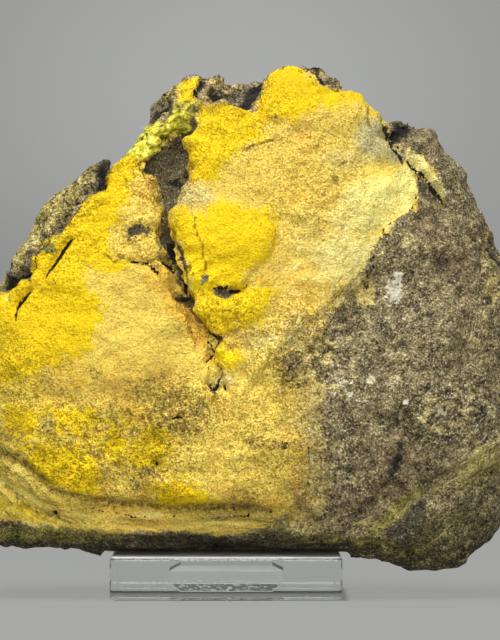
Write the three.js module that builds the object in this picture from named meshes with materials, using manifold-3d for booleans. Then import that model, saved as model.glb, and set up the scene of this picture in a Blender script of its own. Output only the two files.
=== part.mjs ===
// Uranopilite specimen: a yellow mineral crust on grey-brown rock, resting on a clear acrylic block.
// Millimetres, +Z up. The crusted face looks towards -Y, +X is to its right, and the block stands on Z = 0.

import * as THREE from 'three';
import { ImprovedNoise } from 'three/addons/math/ImprovedNoise.js';
import { RoundedBoxGeometry } from 'three/addons/geometries/RoundedBoxGeometry.js';
import { mergeVertices } from 'three/addons/utils/BufferGeometryUtils.js';
import Module from 'manifold-3d';

const wasm = await Module();
wasm.setup();

// Driving dimensions of the display block
const BLOCK_SIDE = 50.8;
const BLOCK_HEIGHT = 9.5;
const BLOCK_EDGE_RADIUS = 1.1;
const BLOCK_EDGE_STEPS = 2;
const BLOCK_X = -1;

// Driving dimensions of the rock
const FIT_GAP = 0.3;
const REST_HEIGHT = BLOCK_HEIGHT + FIT_GAP;
const LIP_HEIGHT = 17;
const FRONT_DEPTH = 30;
const FRONT_LEAN = 0.155;
const LEFT_TURN = { from: -25, slope: 0.1 };
const RIGHT_TURN = { from: 20, slope: 0.13 };
const BACK_DEPTH = 27;
const FRONT_UNDERCUT = 1.45;
const BACK_UNDERCUT = 0.9;
const RIM_BLUNTNESS = 2.9;
const HUB = new THREE.Vector2(0, 52);

// Driving dimensions of the crust
const CRUST_THICKNESS = 3;
const SEAT_CLEARANCE = 0.5;
const CRUST_WRAP = { behind: 6, swing: 6, wavelength: 17 };
const BURIED = { depth: 1.3, from: 8, to: 45 };

// How finely the forms are divided
const FORM_FINE = { outlineStep: 4.8, frontRings: 17, backRings: 8, evenness: 0.4 };
const FORM_COARSE = { outlineStep: 9, frontRings: 9, backRings: 4, evenness: 0.4 };
const MERGE_DISTANCE = 1e-4;

// Outline of the rock seen from the front, as [x, z], clockwise from the left tip
const ROCK_OUTLINE = [
  [-66.5, 30], [-65, 39], [-62.5, 49], [-59, 57.5], [-55, 64], [-50, 69.5], [-48, 74], [-45, 78.6],
  [-43.2, 83], [-42, 85.8], [-36, 90], [-30.5, 94.5], [-28.2, 95.4], [-27, 93.2], [-24, 97.2],
  [-20.5, 100.2], [-17.9, 102.5], [-18, 108.5], [-13.6, 112.1], [-8, 115.2], [-1.9, 114], [6.2, 113.4],
  [7.6, 113.4], [9.3, 116.4], [15.7, 118], [19.5, 117.9], [23.8, 114.8], [25.8, 111.6], [29.3, 110.9],
  [30, 108.9], [33.4, 107.4], [34.6, 104.4], [37.4, 105.3], [41, 103.4], [44.6, 103.4], [47.5, 98.2],
  [51.1, 95.2], [52.6, 90.9], [54.4, 86.6], [56.2, 82.4], [58.2, 77.3], [63.2, 71.2], [65.8, 64.1],
  [66.5, 52.9], [66.2, 41.7], [65, 30.5], [62.7, 20.5], [59.5, 12], [53, -1], [41, -8], [20, -12],
  [-20, -12], [-44, -5], [-59, 8], [-64.5, 19],
];

// Plainer outline of the bed that the crust lies on, inside the rock's own
const BED_OUTLINE = [
  [-62.5, 31], [-59, 48], [-50, 64], [-36, 83], [-21, 97], [-14.5, 107], [-6, 111.8], [6, 111.2], [15, 116.4],
  [20.5, 116], [25, 110.4], [33, 103], [41, 98.5], [48, 89], [54, 79], [60, 66], [62.5, 52], [61, 34],
  [55, 12], [40, -4], [18, -8], [-18, -8], [-42, -2], [-57, 10],
];

// Height of the underside along X, as [x, z]: flat over the block, and a lobe hangs beside it on the right
const UNDERSIDE = [
  [-66, 17], [-59, 14.6], [-53.8, 12.6], [-50.5, 12], [-41, 11.2], [-31, 11.6], [-28, REST_HEIGHT],
  [27.5, REST_HEIGHT], [31.6, 9.2], [35.8, 8.5], [38.6, 6.9], [48.6, 6.8], [51, 7.4], [53, 10.2],
  [57, 12.4], [59, 15.6], [66, 30],
];

// Edge of the crust seen from the front, as [x, z]; it runs past the rock where the crust wraps round it
const CRUST_OUTLINE = [
  [-70, 48], [-60, 61], [-51.8, 64.5], [-46.4, 68.3], [-44, 69.4], [-41.3, 75.9], [-37.5, 79.3],
  [-35, 84], [-33.5, 86.4], [-28.5, 88.7], [-26.8, 93.6], [-30, 99], [-21, 107], [-17.5, 103],
  [-14.7, 106.4], [-14.6, 109.4], [-16.5, 116], [-6.5, 120], [-6.6, 112.5], [-8, 109.2], [-3, 107.6],
  [4.4, 107.5], [7.6, 112.6], [6.5, 121], [15, 121.5], [16.6, 116], [18.8, 112.6], [25, 111.2],
  [30, 115], [36, 109], [34.4, 105], [36.7, 99.8], [41, 94.3], [42, 90.5], [41.4, 87.1], [38.8, 83.5],
  [35, 81.5], [32, 76], [30.5, 71.9], [26.9, 67.4], [23.3, 63.4], [20.2, 58.5], [13, 51.1], [10.8, 48],
  [11.7, 43.5], [14.2, 38.4], [16.6, 32.8], [17.1, 27.8], [15.7, 22.7], [12.6, 20], [6.8, 19], [-3.7, 18.4],
  [-18.5, 18.2], [-29.7, 19.6], [-36, 20.6], [-40.6, 22], [-46, 25.4], [-54, 31], [-60, 34], [-72, 37.5],
];

// Window in the crust where the dark fissure shows, as [x, z]
const FISSURE_OUTLINE = [
  [-19.8, 93], [-18, 96.6], [-14.9, 99.4], [-12.6, 104], [-9.4, 104], [-9.2, 98], [-9.4, 92.4],
  [-11.2, 88], [-12.8, 82], [-11.6, 75], [-10, 69.4], [-7.5, 63.4], [-4.6, 56.4], [-2.6, 50.6],
  [-2, 45], [-3.6, 44.2], [-4.8, 50.6], [-7.4, 57.4], [-11.8, 64], [-14, 70.4], [-16.4, 76.4],
  [-16.2, 83], [-17.6, 88],
];

// Line along the bottom of the fissure, as [x, z], with the half width and depth of its valley
const FISSURE_VALLEYS = [
  { from: [-14.5, 99], to: [-13.5, 88], halfWidth: 6.5, depth: 7 },
  { from: [-13.5, 88], to: [-14, 76], halfWidth: 4.5, depth: 6.5 },
  { from: [-14, 76], to: [-9, 62], halfWidth: 4, depth: 5 },
  { from: [-9, 62], to: [-3, 45], halfWidth: 3, depth: 3 },
];

// Low forms of the crust: middle [x, z], half sizes, turn in degrees, and height towards the front
const CRUST_FORMS = [
  { at: [-1.5, 76], half: [12, 10], turn: 0, height: 1.5 },
  { at: [-0.5, 61.5], half: [9, 5], turn: -8, height: 1 },
  { at: [-1, 99], half: [8, 7], turn: 20, height: 1.2 },
  { at: [20, 108], half: [15, 5], turn: -8, height: 1.4 },
  { at: [-40, 60], half: [16, 16], turn: 30, height: 1.8 },
  { at: [-42, 32], half: [14, 9], turn: -20, height: 1.6 },
  { at: [-14, 24], half: [9, 4], turn: 0, height: 1.6 },
  { at: [-24, 42], half: [10, 7], turn: 0, height: -0.8 },
  { at: [-22, 78], half: [8, 16], turn: 8, height: -0.8 },
  { at: [14, 88], half: [14, 9], turn: 0, height: -0.4 },
  { at: [30, 92], half: [9, 8], turn: 0, height: 1 },
];

// Ledges, knobs, hollows and steps of the bare rock, in the same terms
const ROCK_FORMS = [
  { at: [-38, 84], half: [10, 6], turn: 45, height: -3.2 },
  { at: [-50, 68.5], half: [6, 3], turn: 42, height: -4 },
  { at: [-30, 91], half: [4.5, 3.4], turn: 40, height: -3 },
  { at: [-15.5, 106], half: [4, 6], turn: 0, height: -3.4 },
  { at: [0.5, 110.5], half: [8.5, 4], turn: -3, height: -4.2 },
  { at: [20.5, 115.5], half: [5, 3.4], turn: -24, height: 1.6 },
  { at: [38.6, 101.2], half: [3.2, 3.2], turn: 0, height: -5 },
  { at: [43.5, 97], half: [2.4, 7], turn: 22, height: 2.2 },
  { at: [45.6, 84.5], half: [2.4, 3.2], turn: 0, height: -3 },
  { at: [50, 88], half: [8, 16], turn: 15, height: 1.4 },
  { at: [61.5, 77], half: [6, 7], turn: -50, height: -4 },
  { at: [52, 46], half: [16, 15], turn: 0, height: 2.4 },
  { at: [35, 60], half: [11, 14], turn: 0, height: -1.6 },
  { at: [35, 22], half: [12, 4.5], turn: 32, height: -2 },
  { at: [46, 18], half: [11, 8], turn: 30, height: 2 },
];

// Humps and hollows of the back, with the height away from the crusted face
const BACK_FORMS = [
  { at: [-26, 70], half: [20, 11], turn: 50, height: 3.2 },
  { at: [24, 84], half: [17, 9], turn: -40, height: 2.6 },
  { at: [6, 52], half: [9, 24], turn: -20, height: -3.2 },
  { at: [42, 46], half: [12, 17], turn: 10, height: 3 },
  { at: [-40, 34], half: [16, 9], turn: -15, height: 3.4 },
  { at: [-4, 26], half: [16, 7], turn: 5, height: 2.8 },
];

// Grooves along the foot of the face: from and to as [x, z], half width and depth
const FOOT_GROOVES = [
  { from: [-62, 33], to: [-38, 20], halfWidth: 2.2, depth: 1.5 },
  { from: [-38, 20], to: [16, 19.6], halfWidth: 1.9, depth: 1.6 },
  { from: [-64, 24], to: [-52, 17.4], halfWidth: 1.6, depth: 1.2 },
];

// Arch under the front of the rock, seen from above as [x, y]
const FOOT_ARCH = { at: [-1.5, -22], half: [9, 7], turn: 0, height: 2.4 };

// The underside is rough only where it hangs beside the block
const FOOT_ROUGHNESS = { from: 27, to: 33, wavelength: 5, height: 0.6 };
const FOOT_SLACK = 0.12;

// Broken faces of the sides: outward direction, and distance from the middle of the rock
const MIDDLE = new THREE.Vector3(HUB.x, 0, HUB.y);
const BROKEN_FACES = [
  { out: [0.08, 1, 0.12], distance: 25 },
  { out: [-0.5, 0.84, 0.2], distance: 38.5 },
  { out: [0.42, 0.88, 0.12], distance: 37 },
  { out: [0.86, 0.5, 0.05], distance: 58 },
  { out: [-0.84, 0.52, 0.1], distance: 57 },
  { out: [0.2, 0.66, 0.72], distance: 41 },
  { out: [-0.3, 0.7, 0.64], distance: 42 },
  { out: [-0.22, 0.74, -0.62], distance: 38 },
  { out: [0.34, 0.76, -0.55], distance: 41 },
  { out: [0.56, -0.8, 0.2], distance: 44 },
  { out: [-0.58, -0.8, 0.16], distance: 45 },
];
const FACE_FLATNESS = 0.86;

// Roughness of the surfaces
const ROCK_LUMPS = [
  { wavelength: 27, height: 3 },
  { wavelength: 12, height: 2 },
  { wavelength: 7.5, height: 1.1 },
];
const CRUST_LUMPS = [
  { wavelength: 19, height: 1.4 },
  { wavelength: 9, height: 1.5 },
];
const LUMPS_AT_RIM = 0.15;

// The rim swings towards the front and back as it goes round
const RIM_SWINGS = [
  { waves: 2, swing: 4, start: 3.74 },
  { waves: 5, swing: 2.2, start: 5.24 },
];

const ROCK_COLOUR = 0x786e5c;
const CRUST_COLOUR = 0xe9c52c;
const ACRYLIC_COLOUR = 0xdfe6e4;

const noise = new ImprovedNoise();
const { clamp, degToRad, lerp, smoothstep } = THREE.MathUtils;

// Sum of smooth noises at a point, each with its own wavelength
function lumpsAt(point, layers) {
  return layers.reduce((sum, layer, index) => {
    const place = point.clone().divideScalar(layer.wavelength).addScalar(7.3 * index);
    return sum + layer.height * noise.noise(place.x, place.y, place.z);
  }, 0);
}

// Height at x on a line given by its points
function heightAlong(points, x) {
  const next = points.findIndex((point) => point[0] > x);
  if (next === 0) return points[0][1];
  if (next < 0) return points[points.length - 1][1];
  const [x0, z0] = points[next - 1];
  const [x1, z1] = points[next];
  return lerp(z0, z1, (x - x0) / (x1 - x0));
}

// A rounded mound or hollow over an ellipse: its height in the middle and 0 past its edge
function moundAt(x, z, form) {
  const turn = degToRad(form.turn);
  const offset = new THREE.Vector2(x - form.at[0], z - form.at[1]).rotateAround(new THREE.Vector2(), -turn);
  const reach = Math.hypot(offset.x / form.half[0], offset.y / form.half[1]);
  return form.height * (1 - smoothstep(reach, 0.55, 1.25));
}

// A valley along a straight stretch: its depth on the line and 0 past its half width
function valleyAt(x, z, stretch) {
  const line = new THREE.Line3(new THREE.Vector3(...stretch.from), new THREE.Vector3(...stretch.to));
  const place = new THREE.Vector3(x, z, 0);
  const distance = line.closestPointToPoint(place, true, new THREE.Vector3()).distanceTo(place);
  return stretch.depth * (1 - smoothstep(distance / stretch.halfWidth, 0.35, 1.15));
}

function sumOfForms(x, z, forms) {
  return forms.reduce((sum, form) => sum + moundAt(x, z, form), 0);
}

function deepestValley(x, z, stretches) {
  return Math.max(...stretches.map((stretch) => valleyAt(x, z, stretch)));
}

// How far the plain face stands out in front of the rim
function faceDepth(x, z) {
  const lean = FRONT_LEAN * (Math.max(z, LIP_HEIGHT) - LIP_HEIGHT);
  const turnLeft = LEFT_TURN.slope * Math.max(0, LEFT_TURN.from - x);
  const turnRight = RIGHT_TURN.slope * Math.max(0, x - RIGHT_TURN.from);
  return FRONT_DEPTH - lean - turnLeft - turnRight;
}

// The rock lies deeper under the crust's open edges than on the bare side to the right
function buriedDepth(x) {
  return BURIED.depth * (1 - smoothstep(x, BURIED.from, BURIED.to));
}

// The bare rock, the crust's outer surface, and the plain bed under the crust
const ROCK_SURFACE = {
  outline: ROCK_OUTLINE,
  inset: 0,
  lumps: ROCK_LUMPS,
  relief: (x, z) => sumOfForms(x, z, ROCK_FORMS) - buriedDepth(x)
    - deepestValley(x, z, FISSURE_VALLEYS) - deepestValley(x, z, FOOT_GROOVES),
};
const CRUST_SURFACE = {
  outline: ROCK_OUTLINE,
  inset: 0,
  lumps: CRUST_LUMPS,
  relief: (x, z) => sumOfForms(x, z, CRUST_FORMS) - deepestValley(x, z, FOOT_GROOVES),
};
const BED_SURFACE = {
  outline: BED_OUTLINE,
  inset: CRUST_THICKNESS,
  lumps: [],
  relief: () => 0,
};

// Points along an outline, its corners kept and its long sides divided
function divideOutline(outline, step) {
  return outline.flatMap((corner, index) => {
    const start = new THREE.Vector2(...corner);
    const end = new THREE.Vector2(...outline[(index + 1) % outline.length]);
    const pieces = Math.max(1, Math.round(start.distanceTo(end) / step));
    return Array.from({ length: pieces }, (_, piece) => start.clone().lerp(end, piece / pieces));
  });
}

// How far the rim stands behind the plane Y = 0, by its share of the way round
function rimSwing(turn) {
  return RIM_SWINGS.reduce((sum, part) => (
    sum + part.swing * Math.sin(part.waves * 2 * Math.PI * turn + part.start)), 0);
}

// Moves a point that lies outside a broken face back towards it
function breakFaces(point, inset, flatness) {
  BROKEN_FACES.forEach((face) => {
    const out = new THREE.Vector3(...face.out).normalize();
    const excess = point.clone().sub(MIDDLE).dot(out) - (face.distance - inset);
    if (excess > 0) point.addScaledVector(out, -flatness * excess);
  });
}

// Flattens the underside and undercuts the foot above it
function trimFoot(point, inset) {
  const overhang = smoothstep(Math.abs(point.x - BLOCK_X), FOOT_ROUGHNESS.from, FOOT_ROUGHNESS.to);
  const place = point.clone().divideScalar(FOOT_ROUGHNESS.wavelength);
  const rough = overhang * FOOT_ROUGHNESS.height * noise.noise(place.x, place.y, 0.5);
  const arch = (1 - overhang) * moundAt(point.x, point.y, FOOT_ARCH);
  point.z = Math.max(point.z, heightAlong(UNDERSIDE, point.x) + arch + rough + inset);
  const below = Math.max(0, LIP_HEIGHT - point.z);
  const frontLimit = FRONT_UNDERCUT * below - (FRONT_DEPTH - inset);
  const backLimit = BACK_DEPTH - inset - BACK_UNDERCUT * below;
  if (point.y < frontLimit) point.y = lerp(frontLimit, point.y, FOOT_SLACK);
  if (point.y > backLimit) point.y = lerp(backLimit, point.y, FOOT_SLACK);
}

// Spreads a ball over the outline, gives it depth and relief, then breaks its faces
function buildForm(surface, division) {
  const rim = divideOutline(surface.outline, division.outlineStep);
  const rings = division.frontRings + division.backRings;
  const ball = new THREE.SphereGeometry(1, rim.length, rings);
  const { position } = ball.attributes;
  for (let index = 0; index < position.count; index += 1) {
    const onBall = new THREE.Vector3().fromBufferAttribute(position, index);
    const turn = 0.5 - Math.atan2(onBall.z, onBall.x) / (2 * Math.PI);
    const ring = Math.round(rings * Math.acos(clamp(-onBall.y, -1, 1)) / Math.PI);
    const isFront = ring <= division.frontRings;
    const share = isFront ? ring / division.frontRings : (rings - ring) / division.backRings;
    const spread = lerp(Math.sin(share * Math.PI / 2), share, division.evenness);
    const fullness = Math.pow(1 - Math.pow(spread, RIM_BLUNTNESS), 1 / RIM_BLUNTNESS);
    const place = HUB.clone().lerp(rim[Math.round(turn * rim.length) % rim.length], spread);
    const depth = isFront
      ? -(faceDepth(place.x, place.y) - surface.inset) * fullness
        - surface.relief(place.x, place.y) * Math.sqrt(fullness)
      : (BACK_DEPTH - surface.inset) * fullness
        + sumOfForms(place.x, place.y, BACK_FORMS) * Math.sqrt(fullness);
    const point = new THREE.Vector3(place.x, rimSwing(turn) * spread * spread + depth, place.y);
    const outward = point.clone().sub(MIDDLE).normalize();
    point.addScaledVector(outward, lumpsAt(point, surface.lumps) * lerp(LUMPS_AT_RIM, 1, fullness));
    breakFaces(point, surface.inset, FACE_FLATNESS * smoothstep(fullness, 0, 0.5));
    trimFoot(point, surface.inset);
    position.setXYZ(index, point.x, point.y, point.z);
  }
  return ball;
}

// The points and triangles of a geometry, with the points that lie on each other joined
function joinPoints(geometry) {
  const bare = new THREE.BufferGeometry();
  bare.setAttribute('position', geometry.attributes.position.clone());
  bare.setIndex(geometry.index);
  return mergeVertices(bare, MERGE_DISTANCE);
}

// Turns a closed geometry into a solid
function toSolid(geometry) {
  const joined = joinPoints(geometry);
  return new wasm.Manifold(new wasm.Mesh({
    numProp: 3,
    vertProperties: new Float32Array(joined.attributes.position.array),
    triVerts: new Uint32Array(joined.index.array),
  }));
}

// Turns a solid back into a geometry
function toGeometry(solid) {
  const mesh = solid.getMesh();
  const geometry = new THREE.BufferGeometry();
  geometry.setAttribute('position', new THREE.BufferAttribute(mesh.vertProperties, 3));
  geometry.setIndex(largestPiece(mesh.triVerts, mesh.vertProperties.length / 3));
  const used = mergeVertices(geometry.toNonIndexed(), MERGE_DISTANCE);
  used.computeVertexNormals();
  return used;
}

// Keeps the triangles of the largest connected piece and drops the crumbs that a cut leaves
function largestPiece(triangles, pointCount) {
  const leader = Array.from({ length: pointCount }, (_, point) => point);
  const leaderOf = (point) => {
    let at = point;
    while (leader[at] !== at) at = leader[at];
    return at;
  };
  for (let at = 0; at < triangles.length; at += 3) {
    leader[leaderOf(triangles[at + 1])] = leaderOf(triangles[at]);
    leader[leaderOf(triangles[at + 2])] = leaderOf(triangles[at]);
  }
  const pieces = new Map();
  for (let at = 0; at < triangles.length; at += 3) {
    const name = leaderOf(triangles[at]);
    if (!pieces.has(name)) pieces.set(name, []);
    pieces.get(name).push(...triangles.slice(at, at + 3));
  }
  return [...pieces.values()].reduce((best, piece) => (piece.length > best.length ? piece : best));
}

// Moves every point of a closed form inwards, square to its surface
function shrinkForm(form, distance) {
  const shrunk = joinPoints(form);
  shrunk.computeVertexNormals();
  const { position, normal } = shrunk.attributes;
  for (let index = 0; index < position.count; index += 1) {
    const point = new THREE.Vector3().fromBufferAttribute(position, index);
    point.addScaledVector(new THREE.Vector3().fromBufferAttribute(normal, index), -distance);
    position.setXYZ(index, point.x, point.y, point.z);
  }
  return shrunk;
}

// Moves each side of an outline outwards by the same distance
function growOutline(outline, grow) {
  const corners = outline.map((corner) => new THREE.Vector2(...corner));
  const side = THREE.ShapeUtils.isClockWise(corners) ? 1 : -1;
  const outOf = (start, end) => (
    new THREE.Vector2(start.y - end.y, end.x - start.x).normalize().multiplyScalar(side));
  return corners.map((corner, index) => {
    const before = outOf(corners[(index + corners.length - 1) % corners.length], corner);
    const after = outOf(corner, corners[(index + 1) % corners.length]);
    const out = before.clone().add(after).normalize();
    return corner.clone().addScaledVector(out, grow / Math.max(0.35, out.dot(before)));
  });
}

// A prism over an outline of the face, through the whole depth of the rock
function buildPrism(outline, grow) {
  const shape = new THREE.Shape(growOutline(outline, grow));
  const reach = FRONT_DEPTH + BACK_DEPTH;
  const prism = new THREE.ExtrudeGeometry(shape, { depth: 2 * reach, bevelEnabled: false });
  prism.rotateX(Math.PI / 2);
  prism.translate(0, reach, 0);
  return toSolid(prism);
}

// A slab from in front of the rock to a wavy sheet behind its rim, where the crust ends
function buildWrapSlab(back) {
  const slab = new THREE.BoxGeometry(160, 100, 140, 14, 1, 12);
  slab.translate(0, back - 50, 60);
  const { position } = slab.attributes;
  for (let index = 0; index < position.count; index += 1) {
    const place = new THREE.Vector3().fromBufferAttribute(position, index);
    const wave = noise.noise(place.x / CRUST_WRAP.wavelength, 0.5, place.z / CRUST_WRAP.wavelength);
    if (place.y > 0) position.setY(index, back + CRUST_WRAP.swing * wave);
  }
  return toSolid(slab);
}

// The space that the crust takes up: its outline less the fissure's window, as far as it wraps round
function crustSpace(grow) {
  const window = buildPrism(FISSURE_OUTLINE, -grow);
  const face = buildPrism(CRUST_OUTLINE, grow).subtract(window);
  return face.intersect(buildWrapSlab(CRUST_WRAP.behind + grow));
}

// The crust: a skin between the bed and its own outer surface
function buildCrust() {
  const outside = toSolid(buildForm(CRUST_SURFACE, FORM_FINE));
  const bed = toSolid(buildForm(BED_SURFACE, FORM_COARSE));
  return outside.intersect(crustSpace(0)).subtract(bed);
}

// The rock, with a seat for the crust sunk into its face
function buildRock() {
  const rock = toSolid(buildForm(ROCK_SURFACE, FORM_FINE));
  const seat = toSolid(shrinkForm(buildForm(BED_SURFACE, FORM_COARSE), SEAT_CLEARANCE));
  return rock.subtract(crustSpace(FIT_GAP).subtract(seat));
}

function buildBlock() {
  const block = new RoundedBoxGeometry(
    BLOCK_SIDE, BLOCK_SIDE, BLOCK_HEIGHT, BLOCK_EDGE_STEPS, BLOCK_EDGE_RADIUS);
  block.translate(BLOCK_X, 0, BLOCK_HEIGHT / 2);
  return toSolid(block);
}

function namedMesh(name, solid, color, roughness) {
  const material = new THREE.MeshStandardMaterial({ color, roughness, metalness: 0 });
  const mesh = new THREE.Mesh(toGeometry(solid), material);
  mesh.name = name;
  return mesh;
}

// Puts the middle of the group's box over the origin, seen from above
function centreOverOrigin(group) {
  const centre = new THREE.Box3().setFromObject(group).getCenter(new THREE.Vector3());
  group.position.set(-centre.x, -centre.y, 0);
}

const specimen = new THREE.Group();
specimen.add(namedMesh('matrix_rock', buildRock(), ROCK_COLOUR, 0.95));
specimen.add(namedMesh('uranopilite_crust', buildCrust(), CRUST_COLOUR, 0.9));
specimen.add(namedMesh('acrylic_block', buildBlock(), ACRYLIC_COLOUR, 0.05));
centreOverOrigin(specimen);
export default specimen;
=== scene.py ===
"""Looks of the uranopilite specimen: crusted rock on a clear block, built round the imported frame."""

import logging
import math
from dataclasses import dataclass, field
from enum import Enum

import bmesh
import bpy
import numpy as np
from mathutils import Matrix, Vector, noise
from mathutils.bvhtree import BVHTree


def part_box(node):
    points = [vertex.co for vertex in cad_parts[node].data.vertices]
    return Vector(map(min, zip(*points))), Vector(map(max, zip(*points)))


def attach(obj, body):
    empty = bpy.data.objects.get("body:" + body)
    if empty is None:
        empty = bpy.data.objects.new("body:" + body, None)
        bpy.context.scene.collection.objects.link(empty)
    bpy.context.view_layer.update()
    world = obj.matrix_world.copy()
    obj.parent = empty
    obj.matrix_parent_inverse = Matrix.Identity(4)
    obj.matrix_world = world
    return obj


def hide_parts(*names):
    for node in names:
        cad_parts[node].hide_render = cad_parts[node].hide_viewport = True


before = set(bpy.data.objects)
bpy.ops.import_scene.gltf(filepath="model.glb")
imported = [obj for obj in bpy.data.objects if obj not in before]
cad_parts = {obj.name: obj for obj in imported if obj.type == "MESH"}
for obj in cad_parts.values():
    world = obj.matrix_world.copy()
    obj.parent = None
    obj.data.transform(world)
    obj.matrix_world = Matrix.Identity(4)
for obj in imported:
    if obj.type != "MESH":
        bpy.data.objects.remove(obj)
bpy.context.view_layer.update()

MM = 0.001
MM_IN_METRE = 1000.0
Pair = tuple[float, float]
Triple = tuple[float, float, float]
Outline = tuple[Pair, ...]
Rgba = tuple[float, float, float, float]
Colour = tuple[int, int, int]
Shades = tuple[Colour, Colour, Colour, Colour]
Socket = bpy.types.NodeSocket
Tree = bpy.types.NodeTree
Thing = bpy.types.Object

log = logging.getLogger("specimen")


class Slot(Enum):
    """Names of the materials of the rock, the crust and the block."""

    ROCK = "matrix_rock"
    CRUST = "uranopilite_crust"
    ACRYLIC = "clear_acrylic"


def linear(red: int, green: int, blue: int) -> Rgba:
    """Turns a screen colour into the linear one that a shader takes.

    Args:
        red: Red part, 0 to 255.
        green: Green part, 0 to 255.
        blue: Blue part, 0 to 255.

    Returns:
        The linear colour with an alpha of 1.
    """
    parts = []
    for part in (red, green, blue):
        share = part / 255
        parts.append(share / 12.92 if share <= 0.04045 else ((share + 0.055) / 1.055) ** 2.4)
    return (parts[0], parts[1], parts[2], 1.0)


def smoothstep(values: np.ndarray, start: float, end: float) -> np.ndarray:
    """Rises smoothly from 0 at start to 1 at end.

    Args:
        values: Values to map.
        start: Value that gives 0.
        end: Value that gives 1.

    Returns:
        The mapped values, 0 to 1.
    """
    share = np.clip((values - start) / (end - start), 0.0, 1.0)
    return share * share * (3.0 - 2.0 * share)


def add_object(name: str, data: bpy.types.ID) -> Thing:
    """Makes an object and puts it in the scene.

    Args:
        name: Name of the object.
        data: Its mesh, camera or light.

    Returns:
        The object.
    """
    made = bpy.data.objects.new(name, data)
    bpy.context.scene.collection.objects.link(made)
    return made


# The view that the photograph was taken from


@dataclass(frozen=True)
class PhotoView:
    """Camera of the photograph, and the way from a point of the object to its pixel.

    The aim and the distance are in millimetres, the elevation in degrees and the clip range in metres.
    """

    aim: Triple = (4.07, 0.0, 60.95)
    distance: float = 1300.0
    elevation: float = 0.5
    mm_per_pixel: float = 0.222
    width: int = 500
    height: int = 640
    sensor: float = 36.0
    clip: Pair = (0.01, 20.0)

    def axes(self) -> tuple[np.ndarray, np.ndarray, np.ndarray]:
        """Gives the view's directions.

        Returns:
            The directions to the right, up and back to the camera.
        """
        tilt = math.radians(self.elevation)
        right = np.array((1.0, 0.0, 0.0))
        up = np.array((0.0, math.sin(tilt), math.cos(tilt)))
        back = np.array((0.0, -math.cos(tilt), math.sin(tilt)))
        return right, up, back

    def facing(self, normals: np.ndarray) -> np.ndarray:
        """Tells how far directions point to the camera, from -1 to 1."""
        return normals @ self.axes()[2]

    def pixels(self, points: np.ndarray) -> np.ndarray:
        """Finds where points of the object lie in the photograph.

        Args:
            points: Points in millimetres, one per row.

        Returns:
            Their pixel places, one per row.
        """
        right, up, back = self.axes()
        offset = points - np.array(self.aim)
        scale = self.distance / (self.distance - offset @ back) / self.mm_per_pixel
        across = self.width / 2 + (offset @ right) * scale
        down = self.height / 2 - (offset @ up) * scale
        return np.stack((across, down), axis=1)

    def place_camera(self) -> None:
        """Makes the scene's camera."""
        data = bpy.data.cameras.new("camera")
        data.sensor_width = self.sensor
        data.lens = self.sensor * self.distance / (self.mm_per_pixel * self.height)
        data.clip_start, data.clip_end = self.clip
        camera = add_object("camera", data)
        back = self.axes()[2]
        camera.location = (Vector(self.aim) + Vector(back) * self.distance) * MM
        camera.rotation_euler = (math.radians(90.0 - self.elevation), 0.0, 0.0)
        bpy.context.scene.camera = camera


# Marks on the face of the specimen, placed by the pixels of the photograph


def along_stretch(places: np.ndarray, start: np.ndarray, end: np.ndarray) -> tuple[np.ndarray, np.ndarray]:
    """Sets places against a straight stretch.

    Args:
        places: Places, one per row.
        start: One end of the stretch.
        end: The other end.

    Returns:
        How far along the stretch the nearest point of each place lies, 0 to 1, and the distance to it.
    """
    run = end - start
    share = np.clip((places - start) @ run / max(run @ run, 1e-9), 0.0, 1.0)
    return share, np.hypot(*(places - start - share[:, None] * run).T)


@dataclass(frozen=True)
class Patch:
    """Area of the face inside an outline."""

    outline: Outline

    def depth_inside(self, pixels: np.ndarray) -> np.ndarray:
        """Measures how far places lie inside the outline.

        Args:
            pixels: Places, one per row.

        Returns:
            Distance to the outline in pixels, negative outside.
        """
        corners = np.array(self.outline, float)
        nearest = np.full(len(pixels), np.inf)
        inside = np.zeros(len(pixels), bool)
        for start, end in zip(corners, np.roll(corners, -1, axis=0)):
            nearest = np.minimum(nearest, along_stretch(pixels, start, end)[1])
            spans = (start[1] > pixels[:, 1]) != (end[1] > pixels[:, 1])
            rise = end[1] - start[1] if end[1] != start[1] else 1.0
            cut = start[0] + (pixels[:, 1] - start[1]) / rise * (end[0] - start[0])
            inside ^= spans & (pixels[:, 0] < cut)
        return np.where(inside, nearest, -nearest)


@dataclass(frozen=True)
class Course:
    """Crack or groove along a line, with its half width in pixels at each point."""

    line: Outline
    half_widths: tuple[float, ...]

    def depth_inside(self, pixels: np.ndarray) -> np.ndarray:
        """Measures how far places lie inside the course.

        Args:
            pixels: Places, one per row.

        Returns:
            Half width less distance to the line in pixels, negative outside.
        """
        points = np.array(self.line, float)
        deepest_yet = np.full(len(pixels), -np.inf)
        for index, (start, end) in enumerate(zip(points[:-1], points[1:])):
            share, away = along_stretch(pixels, start, end)
            half = self.half_widths[index] * (1 - share) + self.half_widths[index + 1] * share
            deepest_yet = np.maximum(deepest_yet, half - away)
        return deepest_yet


@dataclass(frozen=True)
class Spot:
    """Soft elliptical spot: middle and half sizes in pixels, strength, and turn in degrees.

    It fades between the two shares of its half sizes that its fade gives.
    """

    at: Pair
    half: Pair
    strength: float = 1.0
    turn: float = 0.0
    fade: Pair = (0.45, 1.3)

    def strength_at(self, pixels: np.ndarray) -> np.ndarray:
        """Gives the spot's strength at places.

        Args:
            pixels: Places, one per row.

        Returns:
            Strength in the middle of the spot, fading to 0 past its edge.
        """
        angle = math.radians(self.turn)
        offset = pixels - np.array(self.at)
        along = offset[:, 0] * math.cos(angle) + offset[:, 1] * math.sin(angle)
        across = offset[:, 1] * math.cos(angle) - offset[:, 0] * math.sin(angle)
        reach = np.hypot(along / self.half[0], across / self.half[1])
        return self.strength * (1.0 - smoothstep(reach, *self.fade))


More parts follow.
